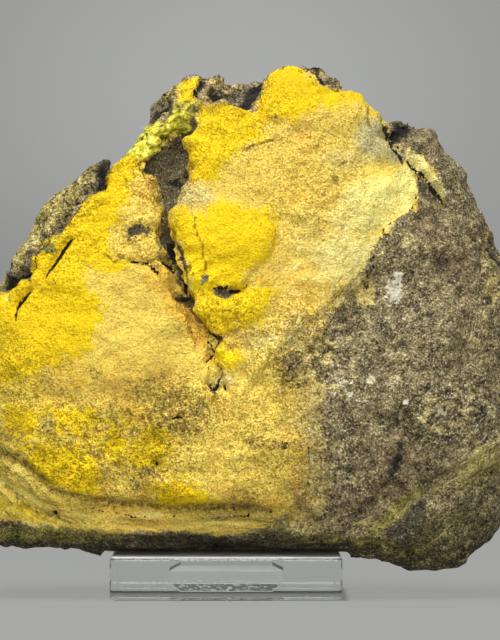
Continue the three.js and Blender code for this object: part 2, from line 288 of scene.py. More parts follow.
def patch(*numbers: float) -> Patch:
    """Makes a patch from its corners, each given as its two numbers."""
    return Patch(tuple(zip(numbers[::2], numbers[1::2])))


def course(*rows: Triple) -> Course:
    """Makes a course from its points, each given with the half width there."""
    return Course(tuple(row[:2] for row in rows), tuple(row[2] for row in rows))


def spots(*rows: tuple[float, ...]) -> tuple[Spot, ...]:
    """Makes spots from rows of middle, half sizes, strength and, for turned ones, the turn."""
    return tuple(Spot(row[:2], row[2:4], *row[4:]) for row in rows)


CRUST_AREA = (
    patch(-40, 262, 16, 284, 33, 262, 41, 241, 61, 235, 67, 226, 75, 212, 80, 202, 92, 194, 104, 191,
          107, 175, 112, 166, 118, 158, 130, 142, 150, 128, 172, 112, 176, 100, 178, 84, 190, 60, 204, 72,
          203, 84, 196, 95, 205, 104, 222, 103, 240, 107, 254, 109, 262, 90, 266, 74, 272, 50, 296, 58,
          302, 68, 312, 76, 320, 83, 330, 90, 347, 88, 350, 80, 368, 86, 384, 104, 390, 128, 400, 143,
          403, 160, 413, 167, 416, 178, 418, 192, 415, 210, 396, 220, 391, 233, 381, 238, 371, 254,
          361, 272, 352, 282, 330, 290, 325, 305, 315, 330, 300, 343, 286, 352, 276, 366, 286, 380,
          298, 392, 304, 415, 306, 449, 304, 472, 298, 495, 300, 515, 280, 522, 262, 527, 235, 536,
          194, 532, 143, 531, 103, 533, 64, 530, 46, 525, 17, 521, -40, 516),
    patch(404, 151, 412, 153, 424, 157, 430, 166, 437, 179, 446, 194, 446, 202, 440, 200, 432, 188,
          422, 174, 412, 164, 406, 158),
)
SMALL_PLATE = patch(218, 343, 224, 340, 228, 349, 240, 348, 243, 356, 240, 365, 231, 366, 219, 365, 210, 360,
                    217, 353)
BRIGHT_PATCHES = (
    patch(-40, 262, 8, 274, 22, 252, 36, 232, 50, 216, 60, 202, 70, 190, 84, 180, 94, 176, 98, 162,
          108, 150, 126, 134, 146, 114, 156, 122, 147, 150, 140, 172, 130, 190, 122, 212, 112, 232,
          108, 246, 112, 256, 100, 262, 86, 270, 84, 284, 92, 292, 103, 299, 103, 308, 100, 322, 94, 338,
          92, 350, 80, 356, 66, 358, 60, 368, 40, 372, 20, 380, -40, 390),
    patch(178, 84, 190, 60, 204, 72, 203, 84, 194, 95, 200, 104, 222, 104, 240, 108, 256, 110, 264, 90,
          268, 72, 276, 50, 300, 60, 306, 74, 320, 84, 330, 91, 350, 88, 366, 84, 366, 104, 356, 107,
          342, 107, 321, 108, 305, 114, 291, 120, 274, 121, 266, 129, 258, 144, 243, 147, 233, 157,
          222, 171, 212, 180, 191, 178, 189, 160, 188, 142, 191, 132, 198, 126, 196, 112, 186, 104,
          176, 100),
    patch(169, 227, 181, 210, 187, 214, 195, 217, 206, 217, 212, 210, 224, 204, 236, 206, 245, 209,
          258, 212, 268, 210, 273, 215, 275, 228, 274, 241, 268, 256, 258, 266, 249, 273, 246, 283,
          252, 287, 268, 289, 278, 292, 264, 310, 258, 320, 240, 328, 227, 334, 214, 335, 206, 328,
          201, 317, 199, 302, 192, 292, 193, 282, 185, 279, 182, 269, 182, 261, 178, 246, 173, 233),
    SMALL_PLATE,
    patch(4, 406, 36, 408, 42, 424, 34, 437, 8, 436, 0, 420),
    patch(54, 412, 90, 410, 94, 426, 74, 434, 56, 432),
    patch(24, 448, 60, 444, 84, 450, 96, 464, 102, 478, 99, 496, 70, 492, 44, 484, 30, 466),
    patch(104, 430, 124, 428, 128, 446, 116, 462, 102, 452),
    patch(132, 440, 150, 424, 168, 430, 172, 452, 158, 470, 138, 474, 126, 462),
    patch(154, 488, 170, 481, 192, 482, 202, 492, 218, 500, 214, 508, 186, 509, 156, 507),
    patch(366, 104, 378, 102, 385, 106, 386, 115, 372, 113),
    patch(94, 262, 112, 254, 128, 262, 122, 274, 100, 276, 86, 272),
)
PLATES = (
    patch(169, 227, 181, 210, 187, 214, 195, 217, 206, 217, 212, 210, 224, 204, 236, 206, 245, 209,
          258, 212, 268, 210, 273, 215, 275, 228, 274, 241, 268, 256, 258, 266, 249, 273, 245, 282,
          241, 291, 231, 291, 219, 290, 214, 287, 200, 284, 185, 280, 182, 269, 182, 261, 178, 246,
          173, 233),
    patch(193, 286, 206, 288, 218, 298, 232, 298, 244, 288, 268, 289, 278, 292, 264, 310, 258, 320,
          240, 328, 227, 334, 214, 335, 206, 328, 201, 317, 199, 302),
    SMALL_PLATE,
    patch(199, 118, 206, 104, 222, 105, 240, 109, 256, 110, 266, 84, 290, 66, 340, 92, 364, 100, 384, 124,
          402, 160, 417, 180, 415, 212, 391, 233, 352, 282, 300, 330, 262, 372, 240, 400, 226, 386,
          222, 372, 214, 340, 204, 326, 198, 305, 188, 290, 183, 272, 178, 248, 170, 228, 176, 208,
          184, 184, 189, 166, 188, 142, 191, 132, 198, 126),
    patch(-40, 288, 16, 286, 33, 262, 46, 242, 61, 235, 67, 226, 75, 212, 80, 202, 92, 194, 104, 191,
          107, 175, 112, 166, 126, 148, 138, 160, 140, 172, 158, 182, 160, 204, 158, 232, 166, 256,
          172, 280, 184, 306, 196, 322, 204, 340, 210, 364, 210, 392, 190, 440, 176, 500, 100, 498, 51, 488,
          40, 476, 23, 461, -40, 446),
)
HOLLOWS = (
    patch(139, 160, 148, 161, 154, 154, 164, 145, 174, 138, 180, 130, 186, 124, 193, 118, 197, 122,
          198, 127, 191, 133, 188, 142, 189, 157, 188, 166, 185, 174, 183, 184, 181, 194, 178, 203,
          174, 210, 171, 218, 170, 228, 174, 238, 181, 247, 186, 259, 187, 272, 189, 290, 184, 292,
          178, 276, 174, 264, 168, 257, 163, 247, 161, 238, 163, 226, 165, 214, 163, 204, 162, 194,
          158, 184, 150, 178, 142, 172, 139, 166),
    patch(176, 295, 186, 293, 194, 298, 199, 306, 194, 311, 186, 308, 178, 303),
    patch(210, 334, 218, 333, 224, 337, 222, 343, 213, 343),
    patch(213, 287, 222, 288, 231, 288, 235, 291, 230, 298, 221, 299, 215, 296),
    patch(203, 277, 207, 275, 211, 278, 210, 284, 204, 284),
    patch(126, 231, 134, 224, 142, 223, 150, 229, 149, 235, 143, 233, 137, 236, 129, 238),
    patch(208, 92, 214, 90, 223, 93, 224, 99, 214, 101, 209, 98),
    patch(228, 78, 262, 80, 264, 84, 256, 100, 250, 109, 236, 106, 226, 100, 232, 90),
    patch(152, 100, 160, 97, 170, 98, 173, 104, 166, 116, 160, 125, 153, 127, 154, 114),
    patch(0, 285, 10, 277, 15, 272, 26, 268, 35, 276, 31, 281, 24, 281, 17, 288, 10, 293, 0, 300),
    patch(102, 160, 111, 162, 113, 167, 107, 177, 105, 188, 99, 192, 90, 194, 95, 182, 98, 172),
    patch(391, 122, 411, 118, 416, 127, 405, 138, 395, 146, 388, 134),
    patch(296, 62, 306, 58, 320, 60, 328, 69, 340, 74, 347, 88, 335, 89, 325, 87, 317, 79, 311, 70),
    patch(488, 234, 500, 243, 520, 262, 520, 272, 494, 268, 487, 250),
    patch(209, 384, 217, 383, 219, 390, 213, 393),
    patch(28, 256, 34, 249, 42, 247, 46, 250, 42, 256, 34, 257),
    patch(418, 176, 424, 179, 432, 190, 440, 203, 434, 204, 424, 200, 418, 190),
)
# Painted shadow: near-black in the deepest recesses
SHADOWED_HOLLOWS = (
    patch(103, 161, 111, 163, 113, 167, 107, 177, 105, 188, 99, 192, 93, 193, 97, 180),
    patch(393, 122, 410, 119, 414, 127, 404, 137, 395, 144, 390, 134),
    patch(166, 178, 175, 177, 177, 184, 170, 186),
    patch(171, 207, 178, 206, 176, 214, 171, 222, 168, 218),
    patch(165, 242, 171, 243, 178, 251, 182, 260, 182, 270, 176, 262, 168, 255),
    patch(177, 295, 186, 294, 192, 298, 184, 302),
    patch(213, 287, 222, 288, 228, 288, 227, 293, 219, 292),
    patch(210, 384, 216, 384, 217, 391, 212, 391),
    patch(213, 337, 219, 336, 222, 339, 216, 341),
    patch(210, 92, 222, 94, 223, 98, 212, 100),
    patch(246, 80, 262, 82, 262, 86, 254, 100, 249, 108, 240, 105, 244, 94),
    patch(154, 110, 160, 102, 164, 104, 160, 116, 155, 125),
    patch(4, 284, 14, 276, 27, 270, 33, 276, 22, 280, 12, 289, 4, 294),
    patch(308, 72, 316, 74, 328, 84, 340, 86, 334, 89, 322, 86),
    patch(494, 244, 502, 252, 520, 266, 498, 262),
    patch(479, 408, 483, 409, 483, 417, 479, 414),
    course((401, 446, 0.8), (399, 454, 2.8), (396, 464, 3.4), (392, 474, 2.0)),
)
WEDGES = (
    patch(424, 500, 412, 508, 398, 520, 386, 530, 390, 542, 402, 547, 414, 540, 422, 524, 427, 510),
    course((401, 443, 2.2), (399, 453, 4.2), (395, 464, 4.8), (391, 475, 3.0)),
)
OLIVE_BANDS = (
    course((364, 538, 1.0), (380, 526, 4.0), (392, 514, 6.0), (406, 502, 6.5), (421, 491, 3.0)),
    course((366, 541, 1.6), (400, 550, 1.8), (424, 550, 1.8), (434, 552, 0.6)),
)
CRACKS = (
    course((71, 239, 0.4), (68, 244, 0.9), (62, 252, 1.7), (58, 257, 1.6), (54, 262, 1.4), (51, 267, 1.1),
           (46, 273, 0.6), (44, 278, 0.2)),
    course((29, 292, 0.6), (24, 298, 1.1), (19, 302, 1.1), (17, 306, 0.8), (16, 313, 0.7), (15, 321, 0.2)),
    course((204, 75, 1.6), (203, 84, 1.8), (200, 90, 1.4), (194, 95, 0.6)),
    course((130, 261, 0.4), (139, 263, 0.9), (147, 263, 1.0), (153, 269, 1.3), (157, 273, 1.7)),
    course((164, 262, 0.8), (170, 264, 1.3), (174, 268, 0.8)),
    course((385, 116, 1.3), (387, 134, 1.5), (393, 145, 1.5), (398, 153, 1.6), (403, 163, 1.0)),
    course((407, 157, 0.7), (416, 170, 1.2), (423, 176, 1.2), (429, 183, 1.6), (437, 195, 1.8),
           (445, 206, 0.6)),
    course((196, 309, 0.9), (200, 317, 0.5), (205, 327, 1.7), (207, 332, 0.8), (213, 337, 1.4)),
    course((217, 343, 1.0), (213, 350, 0.5), (211, 356, 0.8), (207, 361, 0.4)),
    course((219, 368, 0.8), (220, 373, 0.5), (217, 378, 0.2), (215, 386, 0.3)),
    course((231, 291, 1.1), (238, 292, 0.9), (243, 290, 0.8), (248, 284, 0.4)),
    course((182, 272, 1.2), (184, 282, 1.0), (186, 291, 1.1)),
    course((223, 385, 0.6), (225, 389, 0.4)),
    course((230, 349, 1.1), (232, 350, 1.0)),
    course((55, 514, 1.6), (50, 514, 1.0)),
    course((172, 418, 0.6), (183, 416, 1.1)),
    course((154, 462, 1.0), (158, 464, 1.2)),
)
HAIR_CRACKS = (
    course((195, 219, 0.7), (194, 228, 0.9), (197, 238, 0.9), (203, 247, 1.1), (202, 254, 1.0),
           (206, 264, 1.1), (206, 273, 0.7)),
    course((367, 108, 0.7), (366, 118, 1.0), (368, 127, 0.8), (369, 136, 0.3)),
    course((189, 262, 0.8), (190, 269, 1.2), (194, 277, 0.8)),
    course((246, 152, 0.5), (254, 147, 0.8), (264, 144, 0.7), (274, 140, 0.7), (284, 139, 0.3)),
    course((96, 252, 0.4), (106, 255, 0.8), (114, 262, 0.9), (122, 258, 0.4)),
    course((186, 300, 0.9), (192, 312, 1.2), (199, 322, 0.9)),
)
# Grooves below the crust's edge; they are cut into the surface, and their colour is painted shadow under the
# overhang
GROOVES = (
    course((-30, 440, 3.0), (0, 451, 3.0), (23, 463, 3.0), (40, 478, 2.6), (52, 490, 2.4), (80, 499, 2.4),
           (95, 502, 2.8), (126, 505, 2.6), (180, 510, 2.2), (217, 507, 2.4), (252, 509, 2.2),
           (270, 513, 0.5)),
    course((-30, 460, 1.4), (0, 478, 1.6), (26, 504, 1.5), (38, 512, 1.6), (55, 517, 2.0)),
    course((50, 240, 0.5), (62, 224, 2.4), (73, 210, 3.0), (84, 196, 3.0), (92, 188, 3.0)),
)
FILLED_COURSES = (
    course((184, 288, 5.0), (190, 304, 10.0), (203, 328, 14.0), (212, 345, 16.0), (214, 370, 16.0),
           (214, 396, 14.0)),
    course((146, 150, 15.0), (166, 146, 17.0), (182, 132, 15.0), (194, 120, 10.0)),
    course((-40, 505, 8.0), (50, 510, 8.0), (180, 515, 8.0), (300, 515, 8.0)),
)
OCHRE_SPOTS = spots(
    (148, 190, 15, 22, 0.7, -6), (158, 216, 8, 20, 0.6, -6), (158, 282, 17, 20, 1.0, -30),
    (178, 306, 15, 26, 1.2, -38), (196, 332, 11, 26, 1.2, -32), (209, 356, 7, 14, 1.0, -10),
    (288, 198, 30, 14, 0.6, -14), (347, 182, 12, 7, 0.5), (77, 384, 9, 5, 1.2), (228, 428, 16, 20, 0.5, 10),
    (262, 279, 10, 6, 0.9), (275, 504, 20, 12, 0.7), (494, 292, 10, 22, 1.0), (364, 298, 12, 20, 0.5),
    (232, 529, 16, 3, 0.9), (62, 262, 9, 9, 0.4), (376, 108, 8, 5, 0.7), (240, 106, 30, 5, 0.35),
    (200, 80, 7, 12, 0.35), (120, 452, 60, 26, 0.3, 8), (160, 475, 20, 14, 0.4), (280, 392, 14, 30, 0.6),
    (300, 232, 26, 30, 0.35), (310, 130, 40, 14, 0.3), (298, 474, 12, 44, 0.8), (300, 300, 26, 18, 0.3),
    (150, 330, 60, 26, 0.12), (216, 396, 10, 6, 0.8), (86, 518, 30, 6, 0.4), (190, 522, 40, 6, 0.5),
)
TUFTED_SPOTS = spots(
    (60, 438, 76, 52, 0.72, 10), (122, 436, 60, 44, 0.62), (150, 470, 44, 40, 0.56),
    (14, 396, 50, 26, 0.62), (84, 372, 44, 20, 0.5, -14), (206, 470, 44, 30, 0.34), (134, 262, 20, 12, 0.4),
    (208, 300, 18, 22, 0.5), (256, 158, 30, 12, 0.4, -28), (286, 446, 26, 12, 0.4), (232, 342, 24, 14, 0.5),
    (262, 300, 20, 22, 0.4), (20, 512, 44, 11, 0.9, 24),
)
SPECKLED_SPOTS = spots(
    (178, 412, 42, 28, 0.78, 4), (162, 384, 22, 18, 0.55), (206, 400, 12, 18, 0.5), (150, 445, 30, 26, 0.5),
    (95, 374, 12, 10, 0.6), (47, 384, 10, 8, 0.5), (47, 426, 9, 12, 0.9), (97, 428, 8, 5, 0.6),
    (94, 452, 10, 9, 0.6), (130, 432, 14, 9, 0.6), (20, 458, 34, 6, 0.5, 32), (266, 444, 30, 9, 0.8, 8),
    (281, 445, 8, 6, 1.0), (280, 478, 26, 36, 0.45), (240, 496, 24, 9, 0.7), (306, 325, 18, 26, 0.5, 35),
    (302, 244, 8, 5, 0.5), (342, 164, 7, 5, 0.8, -30), (335, 181, 5, 8, 0.8), (325, 194, 7, 4, 0.8, -20),
    (248, 150, 16, 5, 0.6, -20), (121, 257, 6, 4, 0.9), (366, 140, 20, 26, 0.4), (350, 296, 14, 12, 0.5),
    (8, 350, 16, 40, 0.4), (6, 430, 18, 20, 0.6), (144, 388, 30, 14, 0.6), (222, 514, 24, 8, 0.8),
    (114, 412, 12, 10, 0.6), (290, 362, 17, 20, 1.0), (290, 410, 12, 34, 0.4), (148, 472, 16, 8, 0.9),
    (136, 484, 9, 8, 0.9), (156, 262, 20, 8, 0.7, 20), (208, 282, 5, 4, 0.9), (230, 312, 3, 3, 1.1),
    (222, 313, 2.5, 2.5, 1.1), (290, 100, 40, 14, 0.18), (18, 400, 26, 14, 0.4), (310, 96, 10, 4, 0.3),
    (276, 118, 7, 4, 0.9), (210, 352, 6, 10, 0.7), (255, 345, 24, 10, 0.3, -20), (132, 174, 10, 12, 0.4),
    (168, 240, 8, 30, 0.7), (162, 200, 6, 20, 0.6),
)
MOSSY_SPOTS = spots(
    (150, 141, 30, 14, 1.3, -38), (176, 124, 20, 13, 1.2, -30), (184, 108, 16, 10, 0.6, -20),
    (114, 160, 12, 8, 0.7, -40), (44, 210, 5, 5, 0.7), (56, 240, 10, 7, 0.5), (284, 66, 14, 6, 0.7, -10),
    (100, 484, 9, 11, 0.6), (360, 94, 6, 5, 0.4), (150, 496, 12, 8, 0.5), (110, 240, 14, 10, 0.2),
    (10, 300, 10, 8, 0.5),
)
LICHEN_SPOTS = spots(
    (184, 112, 22, 13, 1.1, -18), (164, 92, 15, 8, 1.0, -35), (50, 249, 9, 7, 1.0), (43, 212, 6, 6, 0.8),
    (322, 70, 24, 10, 0.7, 35), (196, 110, 6, 10, 0.8), (38, 258, 14, 6, 0.6, -30),
    (12, 284, 24, 8, 0.6, -34), (240, 92, 22, 12, 0.5), (212, 78, 30, 6, 0.4), (130, 232, 16, 9, 0.35),
    (20, 520, 50, 6, 0.4, 14),
)
OLIVE_SPOTS = spots(
    (430, 480, 26, 9, 0.6, -34), (478, 470, 44, 20, 0.8, -28), (476, 466, 14, 6, 0.9, -28),
    (494, 452, 12, 9, 0.8, -28), (436, 484, 50, 16, 0.5, -28), (344, 504, 30, 20, 0.5),
    (350, 540, 90, 8, 0.9, 2), (50, 535, 110, 10, 1.1, 2), (180, 508, 40, 5, 0.5), (490, 410, 20, 60, 0.45),
    (440, 520, 60, 34, 0.35, -20), (318, 512, 50, 14, 0.5), (110, 490, 60, 8, 0.5, 8),
    (474, 362, 36, 34, 0.45), (360, 520, 30, 14, 0.6, -20), (350, 480, 20, 40, 0.4),
)
PALE_SPOTS = spots(
    (394, 290, 12, 22, 0.9, 12), (397, 295, 7, 8, 1.4, 10), (398, 274, 6, 6, 1.1), (385, 322, 20, 16, 0.4),
    (362, 400, 24, 44, 0.3), (455, 412, 40, 20, 0.3), (447, 193, 6, 5, 0.9), (345, 382, 12, 10, 0.6),
    (335, 391, 5, 5, 1.1), (351, 394, 5, 4, 1.0), (370, 380, 7, 6, 1.0), (406, 402, 4, 4, 1.1),
    (440, 412, 7, 5, 1.0), (178, 204, 8, 18, 0.3), (66, 296, 7, 5, 0.4), (486, 440, 6, 6, 0.7),
    (384, 150, 20, 16, 0.25), (448, 404, 22, 14, 0.3), (486, 300, 3, 3, 1.0), (410, 300, 24, 30, 0.3),
    (213, 87, 6, 4, 0.4), (412, 502, 3, 3, 1.0), (404, 510, 2.5, 2.5, 0.9), (286, 434, 18, 9, 0.4, 20),
)
BUFF_SPOTS = spots(
    (52, 206, 20, 52, 1.3, 42), (24, 246, 14, 34, 1.3, 36), (88, 176, 9, 18, 1.1, 40),
    (228, 84, 26, 9, 0.8, 4), (213, 88, 9, 6, 0.9), (474, 190, 12, 30, 0.3, -24),
    (488, 270, 14, 30, 0.6, -10), (446, 412, 50, 30, 0.6), (338, 490, 36, 40, 0.45),
    (10, 266, 20, 6, 1.0, -30), (450, 540, 40, 20, 0.35), (428, 196, 12, 16, 0.5), (486, 330, 20, 50, 0.5),
    (400, 238, 40, 16, 0.6, -30), (410, 350, 60, 40, 0.3), (330, 470, 30, 60, 0.5), (420, 240, 40, 20, 0.5),
)
DUSTED_SPOTS = spots(
    (332, 300, 18, 16, 0.8), (364, 292, 14, 22, 1.0), (316, 352, 26, 26, 0.72), (306, 392, 26, 38, 0.85),
    (335, 390, 8, 8, 0.9), (318, 440, 16, 50, 0.6), (316, 490, 22, 44, 0.75), (352, 340, 20, 20, 0.4),
    (392, 400, 60, 30, 0.25), (350, 372, 14, 12, 0.5), (370, 380, 8, 7, 0.7), (476, 360, 18, 12, 0.4, -30),
    (330, 524, 40, 12, 0.35), (492, 288, 12, 24, 0.7), (446, 412, 50, 30, 0.4), (424, 196, 10, 12, 0.5),
    (226, 86, 26, 10, 0.6), (480, 350, 20, 30, 0.4),
)
# Dark holes in the rock; their near-black is painted shadow
PITTED_SPOTS = spots(
    (341, 318, 11, 13, 0.5), (360, 312, 6, 6, 0.5), (371, 362, 5, 6, 0.9), (398, 345, 11, 5, 0.75, -10),
    (429, 316, 6, 6, 0.7), (382, 416, 4, 6, 0.9), (480, 411, 4, 6, 1.0), (441, 262, 14, 6, 0.8, 10),
    (421, 258, 6, 4, 0.7), (421, 376, 10, 6, 0.6), (447, 370, 8, 4, 0.7, -50), (462, 348, 10, 4, 0.6, -50),
    (290, 380, 7, 10, 0.7), (297, 386, 4, 5, 0.9), (284, 445, 6, 5, 0.8), (318, 330, 8, 8, 0.4),
    (412, 396, 6, 4, 0.6), (386, 236, 6, 3, 1.0, -20), (414, 218, 8, 4, 0.6), (494, 330, 10, 6, 0.5),
    (456, 490, 8, 4, 0.9, -20), (492, 488, 8, 7, 0.8), (418, 466, 6, 6, 0.7), (384, 484, 5, 4, 0.9),
    (446, 272, 20, 10, 0.4), (470, 530, 24, 14, 0.5, -30), (476, 486, 10, 3, 0.8, -20),
    (342, 512, 20, 12, 0.5), (420, 545, 24, 6, 0.6), (466, 160, 12, 10, 0.3), (450, 140, 10, 4, 0.5, 30),
    (346, 415, 8, 6, 0.5),
)
GREY_GREEN_SPOTS = spots(
    (372, 140, 20, 24, 0.9), (394, 152, 12, 16, 0.9, -30), (186, 196, 9, 20, 0.6), (200, 198, 16, 12, 0.4),
    (360, 262, 18, 30, 0.3, 35), (330, 240, 46, 36, 0.2), (412, 140, 14, 14, 0.6), (346, 160, 26, 12, 0.35),
    (300, 330, 20, 20, 0.4), (418, 164, 14, 9, 0.3, 50), (436, 188, 16, 6, 0.3, 60),
    (188, 298, 7, 5, 0.6, 40), (222, 380, 14, 8, 0.5), (250, 340, 30, 10, 0.25, -10),
)
LAYERED_SPOTS = spots(
    (150, 522, 170, 14, 1.0), (14, 492, 60, 30, 0.85, 38), (250, 524, 70, 14, 0.9, 4),
    (52, 222, 34, 62, 1.0, 40), (10, 262, 30, 16, 0.8, -30), (400, 530, 90, 26, 0.6, -10),
    (470, 470, 60, 20, 0.6, -30), (340, 540, 80, 10, 0.8),
)
LAYER_LINES = (
    GROOVES[0],
    course((-60, 330, 0.0), (0, 262, 0.0), (30, 228, 0.0), (60, 193, 0.0), (100, 160, 0.0)),
    course((330, 545, 0.0), (371, 533, 0.0), (398, 512, 0.0), (423, 489, 0.0), (470, 462, 0.0),
           (540, 430, 0.0)),
)
COARSE_SPOTS = spots(
    (110, 450, 120, 62, 0.9, 6), (180, 412, 60, 40, 1.0), (10, 380, 60, 50, 0.6),
    (240, 130, 70, 50, 0.5, -20), (310, 180, 70, 80, 0.45, 20), (60, 214, 30, 60, 0.9, 42),
    (270, 440, 60, 90, 0.6), (225, 320, 50, 40, 0.7), (160, 170, 50, 60, 0.8), (200, 90, 60, 34, 0.8),
    (300, 350, 60, 60, 0.9), (140, 240, 34, 30, 0.6), (60, 260, 60, 26, 0.5, -40), (446, 412, 60, 36, 1.0),
    (470, 530, 40, 34, 0.9, -30), (340, 490, 40, 40, 0.5),
)
FADING_SPOTS = spots(
    (308, 330, 34, 46, 0.7, 20), (300, 400, 40, 70, 1.0), (306, 470, 44, 66, 1.0),
    (340, 296, 24, 18, 0.6, -30),
)
PRIMROSE_SPOTS = spots(
    (372, 206, 50, 36, 1.25, -10), (404, 190, 18, 30, 1.4), (345, 255, 48, 34, 1.15, -35),
    (418, 164, 18, 10, 1.9, 50), (436, 186, 18, 8, 1.9, 60), (202, 196, 20, 16, 0.8),
    (228, 180, 18, 9, 0.5), (296, 268, 36, 46, 0.65), (340, 150, 60, 34, 0.5), (268, 346, 40, 18, 0.8, -20),
    # The spot on the lower left ledge is partly its own cream and partly painted light on a face that tilts
    # down from the lamps
    (244, 382, 26, 18, 0.6), (196, 440, 40, 20, 0.3), (20, 486, 50, 20, 0.6, 36),
)
# Painted light and shade: spots that lighten faces turned down from the lamps and darken hollows and faces
# that curve away
PAINTED_LIGHT_AND_SHADE_SPOTS = spots(
    (20, 492, 60, 22, 0.26, 36), (200, 296, 28, 24, 0.2), (250, 312, 30, 22, 0.12),
    (214, 350, 28, 28, 0.35), (318, 312, 34, 22, 0.35, -30), (364, 304, 26, 26, 0.22),
    (325, 362, 34, 24, 0.22), (212, 386, 22, 18, 0.2), (388, 262, 18, 18, 0.35), (86, 480, 26, 28, 0.18),
    (212, 474, 50, 26, 0.15), (155, 140, 20, 14, 0.3, -38), (94, 166, 16, 16, -0.5),
    (226, 512, 34, 10, -0.4), (314, 486, 22, 20, -0.25), (6, 430, 24, 22, -0.32), (6, 384, 22, 20, -0.2),
    (6, 336, 20, 20, -0.15), (136, 390, 30, 16, -0.22), (124, 424, 44, 18, -0.15),
    (290, 112, 80, 34, -0.08), (66, 206, 20, 9, -0.3, -45), (402, 129, 15, 13, -0.62),
    (56, 362, 30, 14, -0.15), (272, 458, 26, 12, -0.2), (386, 160, 14, 12, -0.25), (60, 386, 26, 12, -0.15),
    (162, 372, 18, 16, -0.22), (176, 432, 40, 14, -0.2), (208, 410, 12, 14, -0.25), (212, 108, 22, 8, -0.2),
    (394, 192, 26, 22, 0.16), (356, 212, 36, 14, 0.18), (470, 262, 34, 14, -0.3), (204, 540, 50, 12, -0.4),
    (436, 482, 34, 12, -0.2, -30), (86, 508, 20, 8, -0.15), (256, 112, 12, 10, 0.15),
    (186, 272, 16, 24, 0.2), (238, 386, 18, 14, 0.22), (262, 410, 18, 16, 0.2), (188, 512, 20, 10, -0.2),
    (272, 512, 36, 12, -0.28), (146, 462, 26, 12, -0.22), (336, 486, 16, 20, -0.22),
    (300, 528, 60, 12, -0.15), (188, 412, 28, 14, 0.14), (312, 412, 14, 12, -0.14),
    (200, 462, 30, 14, 0.09), (24, 500, 30, 18, 0.05, 30), (88, 512, 12, 10, -0.1),
    (120, 540, 110, 8, -0.3), (350, 512, 30, 12, -0.18), (412, 462, 14, 12, -0.14),
    (340, 148, 70, 38, -0.07), (300, 86, 40, 12, -0.1), (104, 176, 7, 13, -0.6, 20),
    (392, 186, 40, 26, 0.04), (362, 436, 14, 12, -0.1), (210, 106, 24, 10, -0.08),
    (260, 190, 80, 46, -0.05), (392, 160, 20, 12, -0.07), (285, 312, 40, 14, 0.08),
    (290, 362, 50, 14, 0.14), (340, 388, 24, 14, 0.1), (310, 262, 44, 12, -0.06), (208, 286, 34, 12, 0.12),
)
# Painted shade on the rock's underside, laid over its own dark olive colour
UNDERSIDE_SHADE = patch(
    -60, 514, 0, 521, 17, 523, 46, 528, 64, 532, 103, 536, 143, 533, 194, 533, 235, 538, 263, 530,
    298, 533, 340, 536, 372, 536, 400, 540, 430, 548, 470, 546, 560, 500, 560, 640, -60, 640,
)
# Painted shade: darker spots on the lower right and beside a few recesses
SHADED_SPOTS = spots(
    (436, 545, 120, 46, 0.95, -14), (500, 470, 50, 60, 0.4), (380, 486, 80, 50, 0.4),
    (330, 512, 70, 26, 0.6), (290, 524, 40, 8, 0.5), (404, 470, 14, 26, 0.4, 10),
    (370, 236, 30, 14, 0.35, -30), (432, 192, 16, 26, 0.4), (96, 184, 12, 24, 0.4, 30),
)
SHAPES_OF_MARKS = {
    "hollow": HOLLOWS, "wedge": WEDGES, "olive_band": OLIVE_BANDS, "dark": SHADOWED_HOLLOWS, "groove_with_shade": GROOVES,
}
CRACKS_OF_MARKS = {"crack": CRACKS, "hair_crack": HAIR_CRACKS}
SPOTS_OF_MARKS = {
    "ochre": OCHRE_SPOTS, "speckle": SPECKLED_SPOTS, "mossy": MOSSY_SPOTS, "pale": PALE_SPOTS,
    "buff": BUFF_SPOTS, "grey_green": GREY_GREEN_SPOTS, "layered": LAYERED_SPOTS, "coarse": COARSE_SPOTS,
    "fading": FADING_SPOTS, "tufted": TUFTED_SPOTS, "olive": OLIVE_SPOTS, "shaded": SHADED_SPOTS,
    "dusted": DUSTED_SPOTS, "pitted": PITTED_SPOTS, "lichen": LICHEN_SPOTS, "primrose": PRIMROSE_SPOTS,
}


def deepest(shapes: tuple, pixels: np.ndarray, mm_per_pixel: float) -> np.ndarray:
    """Measures how far places lie inside any of several shapes.

    Args:
        shapes: Patches or courses.
        pixels: Places, one per row.
        mm_per_pixel: Size of a pixel.

    Returns:
        Depth in millimetres, negative outside all of them.
    """
    return np.max([shape.depth_inside(pixels) for shape in shapes], axis=0) * mm_per_pixel


def strongest(group: tuple[Spot, ...], pixels: np.ndarray) -> np.ndarray:
    """Gives the strength of the strongest spot at each place."""
    return np.max([spot.strength_at(pixels) for spot in group], axis=0)


# The fine surface of the whole specimen


class Ripple(Enum):
    """Smooth noises of the relief, each with the size of its lumps in millimetres and its seed."""

    SWELL = (9.5, 0)
    LUMP = (4.4, 1)
    GRAIN = (2.3, 2)
    RAGGED = (2.6, 3)
    RIDGE = (6.2, 4)
    FINE_RIDGE = (3.1, 5)
    MOSS = (3.0, 6)
    LAYER = (2.5, 7)
    RIM = (2.0, 8)
    BROAD_RIM = (3.6, 9)
    FINE_LAYER = (1.5, 10)
    WANDER = (15.0, 11)
    FINE_WANDER = (6.0, 12)

    def at(self, points: np.ndarray) -> np.ndarray:
        """Samples the noise.

        Args:
            points: Points in millimetres, one per row.

        Returns:
            Values from about -1 to 1.
        """
        lump_size, seed = self.value
        apart = 13.7
        places = points / lump_size + apart * seed
        return np.array([noise.noise(place) for place in places.tolist()])


